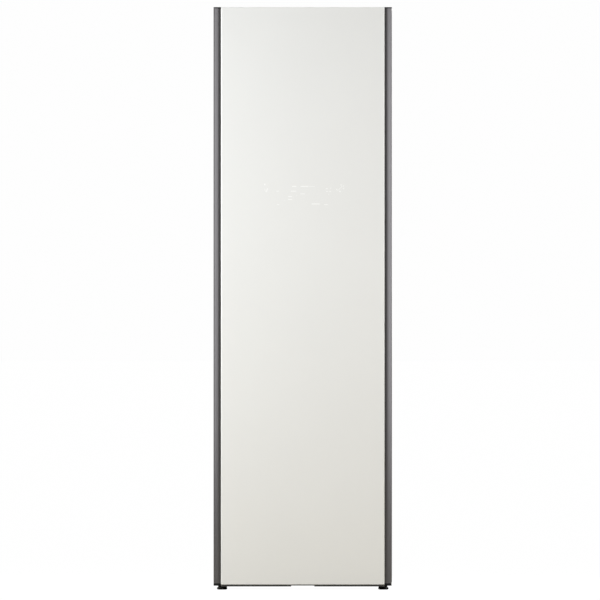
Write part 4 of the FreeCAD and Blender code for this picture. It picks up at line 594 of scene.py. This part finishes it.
def levelling_foot(side):
    """Adjusting foot: lens-shaped rubber disc, steel nut between two black tabs, and thread. The tabs show
    the nut's side flats black, painted shade for the shadow under the door.
    """
    body = "front_foot_left" if side < 0 else "front_foot_right"
    tag = "left" if side < 0 else "right"
    centre = np.array([side * FOOT_X, FOOT_Y, 0])
    disc = [(0.01, 0), (11.6, 0), (14.6, 0.4), (16.4, 1.6), (17.2, 3.2), (17.4, 4.9), (17.0, 6.6),
            (15.8, 7.9), (13.6, 8.9), (11.6, 9.3), (9.0, 9.6), (0.01, 9.6)]
    base = lathe("foot_disc_" + tag, disc, centre, FINISHES["foot_black"], body)
    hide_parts(body)
    hexagon("foot_nut_" + tag, 7.0, 9.6, 16.6, centre, FINISHES["zinc_steel"], body)
    # Black tabs beside the nut: painted shade on its side flats.
    spans = np.sort(centre[0] + side * np.array([(3.5, 10.8), (-3.9, -10.0)]), axis=1)
    lows = [(x0, FOOT_Y - 5.6, 9.2) for x0, _ in spans]
    highs = [(x1, FOOT_Y + 3, 16.8) for _, x1 in spans]
    boxes("foot_shade_tabs_" + tag, lows, highs, FINISHES["foot_black"], body, 0.8)
    foot_thread("foot_thread_" + tag, centre, body)


# ---- edges of the sheet and moulded pieces ----

# Width in mm of the rounding along each node's edges, and the number of steps across it.
EDGES = {
    "grip_channel": (0.4, 1), "door_top_cap": (0.5, 2), "door_bottom_cap": (0.4, 2), "door_liner": (1.2, 2),
    "press_board": (1.5, 3), "press_catch": (0.8, 2), "hem_clip": (0.6, 2), "side_panel_left": (0.5, 2),
    "side_panel_right": (0.5, 2), "top_cover": (0.5, 2), "base_pan": (0.5, 2), "front_frame": (2.5, 3),
    "chamber_left_wall": (0.8, 2), "chamber_right_wall": (0.8, 2), "chamber_floor": (0.7, 2),
    "tank_bay": (1.0, 2), "supply_tank": (1.0, 3), "drain_tank": (1.0, 3),
    "supply_tank_lid": (1.2, 3), "drain_tank_lid": (1.2, 3), "shelf": (1.2, 3), "lint_filter": (0.8, 2),
    "aroma_case": (0.8, 2), "hanger_rail": (2.0, 3), "hanger_carriage": (1.0, 2), "drive_bracket": (0.5, 2),
    "shake_motor": (1.2, 3), "crank_wheel": (0.6, 2), "steam_generator": (1.2, 3), "water_pumps": (1.5, 3),
    "control_box": (1.5, 3), "power_inlet": (0.6, 2), "fan_scroll": (0.8, 2), "fan_motor": (1.5, 3),
    "upper_hinge_arm": (0.5, 2), "lower_hinge_arm": (0.5, 2), "back_panel": (0.3, 1),
}


def round_edges(piece, width, steps):
    """Rounds the piece's edges by width in mm, in so many steps."""
    piece.data.shade_smooth()
    piece.data.set_sharp_from_angle(angle=math.radians(35))
    rounding = piece.modifiers.new("edges", "BEVEL")
    rounding.width = width * MM
    rounding.segments = steps
    rounding.limit_method = "ANGLE"
    rounding.angle_limit = math.radians(40)
    rounding.harden_normals = True


def eased(node, width, steps):
    """The node's own shape, its triangles merged to flat faces and its edges rounded by width."""
    entry = next(e for e in frame["record"]["subparts"] if e["node"] == node)
    mesh = NODES[node].data.copy()
    shape = bmesh.new()
    shape.from_mesh(mesh)
    bmesh.ops.remove_doubles(shape, verts=shape.verts, dist=2e-6)
    bmesh.ops.dissolve_limit(shape, angle_limit=math.radians(0.6), verts=shape.verts, edges=shape.edges)
    shape.to_mesh(mesh)
    shape.free()
    mesh.materials.clear()
    mesh.materials.append(FINISHES[entry["material_slot"]])
    piece = bpy.data.objects.new(node + "_eased", mesh)
    bpy.context.scene.collection.objects.link(piece)
    round_edges(piece, width, steps)
    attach(piece, NODES[node]["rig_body"])
    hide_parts(node)
    return piece


def blacken_ends(piece):
    """The cap's ends, beyond the glass, are black. The middle is dark grey."""
    piece.data.materials.append(FINISHES["seal_black"])
    middles = np.empty(3 * len(piece.data.polygons))
    piece.data.polygons.foreach_get("center", middles)
    at_end = np.abs(middles[0::3]) > 276 * MM
    piece.data.polygons.foreach_set("material_index", at_end.astype(np.int32))


# ---- heat exchangers ----

def boxes(name, lows, highs, finish, body, ease=0.0):
    """Upright boxes as one mesh, from (n, 3) arrays of lowest and highest corners, their edges rounded."""
    lows, highs = np.asarray(lows, float), np.asarray(highs, float)
    pick = np.array([(0, 0, 0), (1, 0, 0), (1, 1, 0), (0, 1, 0), (0, 0, 1), (1, 0, 1), (1, 1, 1), (0, 1, 1)])
    points = np.where(pick[None] == 1, highs[:, None], lows[:, None])
    made = put_mesh(name, points.reshape(-1, 3), six_sides(len(lows)), finish, body, smooth=False)
    if ease:
        round_edges(made, ease, 2)
    return made


def half_turn(x, z, radius, start, stop):
    """Points of a bend in the X-Z plane: centre plus radius times (cos t, sin t)."""
    t = np.radians(np.linspace(start, stop, 10)[1:-1])
    return [(x + radius * math.cos(a), 0, z + radius * math.sin(a)) for a in t]


def pipe(name, path, radius, finish, body):
    """Round tube along a path that stays in one plane: at each point a circle square to the path."""
    path = np.asarray(path, float)
    along = np.gradient(path, axis=0)
    along /= np.linalg.norm(along, axis=1, keepdims=True)
    plane = np.cross(path[1] - path[0], path[len(path) // 2] - path[0])
    across = np.broadcast_to(plane / np.linalg.norm(plane), path.shape)
    up = np.cross(along, across)
    t = np.linspace(0, 2 * math.pi, 14, endpoint=False)[None, :, None]
    rings = path[:, None] + radius * (np.cos(t) * across[:, None] + np.sin(t) * up[:, None])
    return loft(name, rings, finish, body)


def coil_block(name, node, y_low):
    """Ninety foil fins between two end plates, and two copper tubes that run to and fro through them."""
    count, deep, foil, plate = 90, 50, 0.18, 1.5
    x = np.linspace(-178.4, -21.8, count)
    lows = np.column_stack([x, np.full(count, y_low), np.full(count, 259.6)])
    lows = np.vstack([lows, [(-180, y_low, 259), (-21.5, y_low, 259)]])
    widths = np.r_[np.full(count, foil), plate, plate]
    talls = np.r_[np.full(count, 94.8), 96, 96]
    highs = lows + np.column_stack([widths, np.full(count + 2, deep), talls])
    fins = boxes(name + "_fins", lows, highs, FINISHES["fin_aluminium"], "cabinet")
    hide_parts(node)
    for column, y in enumerate((y_low + 15, y_low + 35)):
        left, right, low, step = -180, -20, 278.2, 28.8
        run = [(left, 0, low), (right, 0, low), *half_turn(right, low + step / 2, step / 2, -90, 90),
               (right, 0, low + step), (left, 0, low + step),
               *half_turn(left, low + step * 1.5, step / 2, -90, -270),
               (left, 0, low + step * 2), (right, 0, low + step * 2)]
        pipe(f"{name}_tube_{column}", np.array(run) + (0, y, 0), 4.9, FINISHES["copper"], "cabinet")


# ---- fasteners and the back ----

def screw_heads():
    """Pan heads on the panel screws: a low dome with a cross cut into it, the shade in the cross painted as
    two dark bars.
    """
    lowest, run = 84, 1790.8
    spots = [(side * 288.8, lowest + run * step / 4) for side in (-1, 1) for step in range(5)]
    dome = [(3.9, 0.1), (3.95, 0.5), (3.6, 1.0), (2.6, 1.35), (1.2, 1.47), (0.01, 1.49)]
    for index, (x, z) in enumerate(spots):
        lathe(f"screw_head_{index}", dome, (x, BACK_SHEET, z), FINISHES["zinc_steel"], "cabinet",
              steps=20, axis="y")
    # Two dark bars on each dome: painted shade of its cross recess.
    inner, outer = BACK_SHEET + 1.2, BACK_SHEET + 1.495
    lows, highs = [], []
    for x, z in spots:
        lows += [(x - 2.1, inner, z - 0.4), (x - 0.4, inner, z - 2.1)]
        highs += [(x + 2.1, outer, z + 0.4), (x + 0.4, outer, z + 2.1)]
    boxes("screw_cross_shade", lows, highs, FINISHES["dark_trim"], "cabinet")


def louvre_blades():
    """Pressed blades behind the back panel's slots: a quarter-round lip from each slot's upper edge."""
    t = np.linspace(0, math.pi / 2, 7)
    inside, reach, thick = BACK_SHEET - 1.2, 6, 0.8
    slot_low, slot_step, slot_tall, slot_ends = 90, 16, 5.0, (56, 244)
    for index in range(12):
        top = slot_low + slot_step * index + slot_tall
        upper = np.stack([inside - reach * np.sin(t), top + 1.0 - reach * (1 - np.cos(t))], -1)
        lower = (upper - thick * np.stack([np.sin(t), np.cos(t)], -1))[::-1]
        flat = np.vstack([upper, lower])
        rings = [np.insert(flat, 0, x, axis=1) for x in slot_ends]
        loft(f"louvre_blade_{index}", rings, FINISHES["zinc_steel"], "cabinet")


def back_ribs():
    """Stiffening ribs pressed into the back sheet: long flat-topped pads 1.2 mm high, sides rounded."""
    profile = [(inset, BACK_SHEET + rise) for inset, rise in
               ((0, -0.1), (0.3, 0.1), (2.5, 0.8), (4.5, 1.15), (6, 1.2))]
    for index, x in enumerate((-216, 216, -110, 110, 0)):
        pressed_pad(f"back_rib_{index}", x - 20, x + 20, 420, 1850, 19.9, profile, "cabinet", "zinc_steel")


def inlet_pins():
    """Three flat pins inside the mains inlet, the earth pin in the middle and lower."""
    lows = np.array([(x - 1, 277.5, z - 2.2) for x, z in ((-237, 112), (-223, 112), (-230, 107.5))])
    boxes("inlet_pins", lows, lows + (2, 15, 4.4), FINISHES["zinc_steel"], "cabinet", 0.4)


# ---- moulded lining of the chamber ----

def back_flutes():
    """Fluted back lining: each flute half of one minus a cosine across, all fading at both ends."""
    half, low, high, run_out, pitch, depth = 240, 410, 1790, 40, 24, 1.4
    rear_y = CHAMBER_BACK + 0.6
    x = np.linspace(-half, half, 241)
    z = np.concatenate([np.linspace(low, low + run_out, 9), np.linspace(high - run_out, high, 9)])
    fade = np.clip(np.minimum(z - low, high - z) / run_out, 0, 1)
    fade = fade * fade * (3 - 2 * fade)
    swell = 0.5 - 0.5 * np.cos(2 * math.pi * (x + half) / pitch)
    front = CHAMBER_BACK - 0.35 - depth * fade[:, None] * swell[None, :]
    rings = []
    for row, height in zip(front, z):
        face = np.column_stack([x, row, np.full(len(x), height)])
        rings.append(np.vstack([face, [(half, rear_y, height), (-half, rear_y, height)]]))
    loft("back_flutes", rings, FINISHES["liner_white"], "cabinet")


def cove(name, corner, toward, start, stop, axis):
    """Concave quarter round of 16 mm in a corner, its hollow side towards the chamber, along one axis."""
    radius = 16
    t = np.radians(np.linspace(180, 270, 9))
    a = toward[0] * (radius + radius * np.cos(t))
    b = toward[1] * (radius + radius * np.sin(t))
    section = np.vstack([np.stack([a, b], -1), [(-0.6 * toward[0], -0.6 * toward[1])]]) + corner
    column = 1 if axis == "y" else 2
    rings = [np.insert(section, column, place, axis=1) for place in (start, stop)]
    loft(name, rings, FINISHES["liner_white"], "cabinet")


def chamber_coves():
    """Rounded corners of the chamber: four from the mouth to the back, two up the back."""
    mouth, rear = FRAME_FRONT + 0.2, CHAMBER_BACK - 0.2
    low, high = CHAMBER_LOW + 0.4, CHAMBER_HIGH - 0.4
    for side, hand in ((-1, "left"), (1, "right")):
        wall = side * CHAMBER_HALF
        cove("cove_foot_" + hand, (wall, CHAMBER_LOW), (-side, 1), mouth, rear, "y")
        cove("cove_head_" + hand, (wall, CHAMBER_HIGH), (-side, -1), mouth, rear, "y")
        cove("cove_back_" + hand, (wall, CHAMBER_BACK), (-side, -1), low, high, "z")


def mouth_bead():
    """Low rounded bead round the chamber's mouth, 1.6 mm proud of the front frame."""
    def outline(inset):
        outset = 7 - inset
        half = CHAMBER_HALF + outset
        return rounded_rectangle(-half, half, CHAMBER_LOW - outset, CHAMBER_HIGH + outset, 12)
    profile = [(inset, FRAME_FRONT - rise) for inset, rise in
               ((0, -0.2), (0.4, 0.6), (1.6, 1.3), (3.2, 1.6), (4.8, 1.3), (6.0, 0.6), (6.4, -0.2))]
    loft("mouth_bead", panel_rings(outline, profile), FINISHES["liner_white"], "cabinet",
         closed=True)


def pressed_pad(name, x0, x1, z0, z1, corner, profile, body, finish):
    """Pad pressed out of a sheet: a rounded rectangle drawn in along a profile of (inset, y) to its top."""
    def outline(inset):
        return rounded_rectangle(x0 + inset, x1 - inset, z0 + inset, z1 - inset, corner - inset)
    loft(name, panel_rings(outline, profile), FINISHES[finish], body)


def liner_relief():
    """Pads moulded into the door's inner skin: seven bars at the foot of its field, and a panel below."""
    bar = [(inset, FIELD_FACE + rise) for inset, rise in
           ((0, -0.2), (0.3, 0.4), (1.1, 1.1), (2.4, 1.5), (4, 1.6))]
    for index in range(7):
        z = 444 + 28 * index
        pressed_pad(f"liner_bar_{index}", -214, 214, z, z + 14, 6.9, bar, "door", "liner_white")
    panel = [(inset, LINER_FACE + rise) for inset, rise in
             ((0, -0.2), (0.5, 0.8), (1.8, 1.8), (4, 2.4), (7, 2.6))]
    pressed_pad("liner_foot_panel", -226, 226, 72, 352, 24, panel, "door", "liner_white")


def press_stitches():
    """Seam round the cloth of the press: stitches 5 mm long every 8 mm, left out at the catch's stalk."""
    long, wide, pitch = 5.0, 0.9, 8.0
    x, z = np.arange(-164, 172, pitch), np.arange(676, 1522, pitch)
    along = np.vstack([np.column_stack([x, np.full(len(x), edge)]) for edge in (672.0, 1528.0)])
    up = np.vstack([np.column_stack([np.full(len(z), edge), z]) for edge in (-169.0, 178.0)])
    at_stalk = (up[:, 0] < 0) & (up[:, 1] > 1076) & (up[:, 1] < 1118)
    up = up[~at_stalk]
    flat = [np.vstack([along, up]), np.vstack([along + (long, wide), up + (wide, long)])]
    lows, highs = (np.insert(corner, 1, y, axis=1) for corner, y in zip(flat, (-204.2, -203.5)))
    boxes("press_stitches", lows, highs, FINISHES["grey_plastic"], "press_board")


def filter_net():
    """Net on both faces of the lint filter: square threads, as far apart both ways."""
    thread, pitch, wide, tall = 0.6, 3.0, 196.2, 74.2
    x, z = np.arange(-96.6, 97, pitch), np.arange(281.6, 353, pitch)
    lows, highs = [], []
    for y in (-189.4, -187.2):
        lows += [np.column_stack([x, np.full(len(x), y), np.full(len(x), 279.9)]),
                 np.column_stack([np.full(len(z), -98.1), np.full(len(z), y), z])]
        highs += [lows[-2] + (thread, thread, tall), lows[-1] + (wide, thread, thread)]
    boxes("filter_net", np.vstack(lows), np.vstack(highs), FINISHES["rail_grey"], "lint_filter")


def lamp_ribs():
    """Lamp cover, ribbed below: depth times the size of a cosine across, one rib for each half turn."""
    half, top, depth, rib = 69.5, 1821.9, 0.8, 5
    x = np.linspace(-half, half, 169)
    ribs = top - 1.5 - depth * np.abs(np.cos(math.pi * x / rib))
    section = np.vstack([np.stack([x, ribs], -1), [(half, top), (-half, top)]])
    rings = [np.insert(section, 1, y, axis=1) for y in (-192.6, -163.4)]
    lens = loft("lamp_ribs", rings, FINISHES["lamp_clear"], "cabinet")
    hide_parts("lamp_lens")


# ---- small fittings ----

def tank_fittings(side):
    """Sight strip with level marks on a tank's front, and the round cap of its filling hole."""
    body, hand = ("supply_tank", "left") if side < 0 else ("drain_tank", "right")
    middle = side * TANK_X
    boxes("sight_strip_" + hand, [(middle + 70, TANK_FACE - 1, 76)], [(middle + 80, TANK_FACE + 0.4, 176)],
          FINISHES["lamp_clear"], body, 0.6)
    heights = np.array([86, 106, 126, 146, 166])
    lows = np.column_stack([np.full(5, middle + 60.0), np.full(5, TANK_FACE - 0.5), heights - 0.8])
    boxes("level_marks_" + hand, lows, lows + (7, 1, 1.6), FINISHES["dark_trim"], body)
    cap = [(0.01, 231.0), (17, 231.0), (17.2, 233.4), (16.4, 234.2), (12, 234.4), (11.4, 233.6),
           (0.01, 233.6)]
    lathe("filling_cap_" + hand, cap, (middle, -120, 0), FINISHES["grey_plastic"], body)
    boxes("cap_grip_" + hand, [(middle - 10, -121.6, 233.2)], [(middle + 10, -118.4, 236.4)],
          FINISHES["grey_plastic"], body, 0.8)


def hinge_cover():
    """Moulded cover over the upper hinge arm: a low plate whose rim is rounded."""
    rings = []
    for inset, z in [(0, 1950.2), (0, 1957.6), (0.5, 1958.8), (1.8, 1959.5), (4, 1959.7)]:
        flat = rounded_rectangle(224 + inset, 298 - inset, -224 + inset, -146 - inset, 8)
        rings.append(np.insert(flat, 2, z, axis=1))
    loft("hinge_cover", rings, FINISHES["shell_paint"], "cabinet")


def compressor_fittings():
    """Weld band round the compressor's shell and the moulded cover of its terminals."""
    band = [(61.6, 118), (63.0, 118.6), (63.4, 121), (63.0, 123.4), (61.6, 124)]
    lathe("weld_band", band, (190, 200, 0), FINISHES["black_paint"], "cabinet", steps=72)
    boxes("terminal_cover", [(172, 133, 92)], [(208, 141, 132)], FINISHES["black_paint"], "cabinet",
          3.0)


for side in (-1, 1):
    tank_fittings(side)
    side_strip(side)
    glass_seal_and_shade(side)
    levelling_foot(side)
door_seal()
for node, (width, steps) in EDGES.items():
    piece = eased(node, width, steps)
    if node in ("door_top_cap", "door_bottom_cap"):
        blacken_ends(piece)
coil_block("evaporator", "evaporator", -47)
coil_block("condenser", "condenser", 27)
screw_heads()
louvre_blades()
back_ribs()
inlet_pins()
back_flutes()
chamber_coves()
mouth_bead()
lamp_ribs()
liner_relief()
press_stitches()
filter_net()
hinge_cover()
compressor_fittings()


# ---- floor, light and camera ----

# Strength of the world's light from ahead and from the sides.
WORLD_AHEAD, WORLD_SIDE = 0.34, 0.72


def shader_tree(owner):
    """The emptied node tree of a world or material."""
    owner.use_nodes = True
    owner.node_tree.nodes.clear()
    return owner.node_tree


def studio_world():
    """White all round for the camera. As light it is dim ahead and bright to both sides."""
    world = bpy.data.worlds.new("studio")
    bpy.context.scene.world = world
    tree = shader_tree(world)
    new, link = tree.nodes.new, tree.links.new
    place, split, size = new("ShaderNodeTexCoord"), new("ShaderNodeSeparateXYZ"), new("ShaderNodeMath")
    size.operation = "ABSOLUTE"
    ramp = new("ShaderNodeMapRange")
    for key, value in zip(("From Min", "From Max", "To Min", "To Max"), (0.0, 1.0, WORLD_AHEAD, WORLD_SIDE)):
        ramp.inputs[key].default_value = value
    light, seen, mix = new("ShaderNodeBackground"), new("ShaderNodeBackground"), new("ShaderNodeMixShader")
    seen.inputs["Color"].default_value = (0.99, 0.99, 0.99, 1)
    link(place.outputs["Generated"], split.inputs["Vector"])
    link(split.outputs["X"], size.inputs[0])
    link(size.outputs[0], ramp.inputs["Value"])
    link(ramp.outputs["Result"], light.inputs["Strength"])
    link(new("ShaderNodeLightPath").outputs["Is Camera Ray"], mix.inputs["Fac"])
    link(light.outputs[0], mix.inputs[1])
    link(seen.outputs[0], mix.inputs[2])
    link(mix.outputs[0], new("ShaderNodeOutputWorld").inputs["Surface"])


def studio_floor():
    """Plain white floor that stays white to the camera and gives back under half of the light."""
    bpy.ops.mesh.primitive_plane_add(size=600, location=(0, 0, 0))
    floor = bpy.context.object
    floor.name = "floor"
    paint = bpy.data.materials.new("floor_white")
    tree = shader_tree(paint)
    new, link = tree.nodes.new, tree.links.new
    matt, faint, glow = new("ShaderNodeBsdfDiffuse"), new("ShaderNodeBsdfDiffuse"), new("ShaderNodeEmission")
    matt.inputs["Color"].default_value = (0.455, 0.4, 0.28, 1)
    faint.inputs["Color"].default_value = (0.08, 0.08, 0.08, 1)
    glow.inputs["Color"].default_value = (0.965, 0.965, 0.965, 1)
    both, mix = new("ShaderNodeAddShader"), new("ShaderNodeMixShader")
    link(faint.outputs[0], both.inputs[0])
    link(glow.outputs[0], both.inputs[1])
    link(new("ShaderNodeLightPath").outputs["Is Camera Ray"], mix.inputs["Fac"])
    link(matt.outputs[0], mix.inputs[1])
    link(both.outputs[0], mix.inputs[2])
    link(mix.outputs[0], new("ShaderNodeOutputMaterial").inputs["Surface"])
    floor.data.materials.append(paint)


def lamp(name, place, aim, size, power, colour=(1, 1, 1)):
    """Rectangular lamp at a place, turned towards its aim."""
    light = bpy.data.lights.new(name, "AREA")
    light.shape = "RECTANGLE"
    light.size, light.size_y = size
    light.energy = power
    light.color = colour
    holder = bpy.data.objects.new(name, light)
    bpy.context.scene.collection.objects.link(holder)
    holder.location = place
    toward = [a - p for a, p in zip(aim, place)]
    holder.rotation_euler = Vector(toward).to_track_quat("-Z", "Y").to_euler()
    return holder


def camera():
    """Straight on and far away. The frame covers 2017.8 mm at the door's front, 9.2 mm left of its middle."""
    distance, covered, sensor = 80.0, 2.0178, 36
    eye = bpy.data.cameras.new("camera")
    eye.sensor_width = sensor
    eye.lens = sensor * distance / covered
    eye.clip_end = 2000
    holder = bpy.data.objects.new("camera", eye)
    bpy.context.scene.collection.objects.link(holder)
    holder.location = (-0.0092, -0.298 - distance, 0.975)
    holder.rotation_euler = (math.pi / 2, 0, 0)
    bpy.context.scene.camera = holder


studio_world()
studio_floor()
key = lamp("key", (-1.5, -2.3, 1.62), (-0.1, -0.3, 1.42), (1.0, 1.7), 34, (0.925, 0.97, 1))
key.visible_glossy = False
for side, hand, rim_power in ((-1, "left", 17.5), (1, "right", 20)):
    lamp("bank_" + hand, (side * 2.05, -1.4, 1.42), (side * 0.25, -0.25, 1.3), (1.5, 1.9), 18.5)
    lamp("rim_" + hand, (side * 2.2, 0.0, 1.26), (side * 0.3, -0.25, 1.2), (1.3, 1.7), rim_power)
lamp("behind", (0.9, 3.0, 1.9), (0.0, 0.3, 1.0), (2.2, 2.2), 34)
lamp("above", (0.2, 1.0, 3.4), (0.0, 0.15, 1.95), (1.6, 1.0), 9)
camera()
bpy.context.scene.view_settings.view_transform = "Standard"
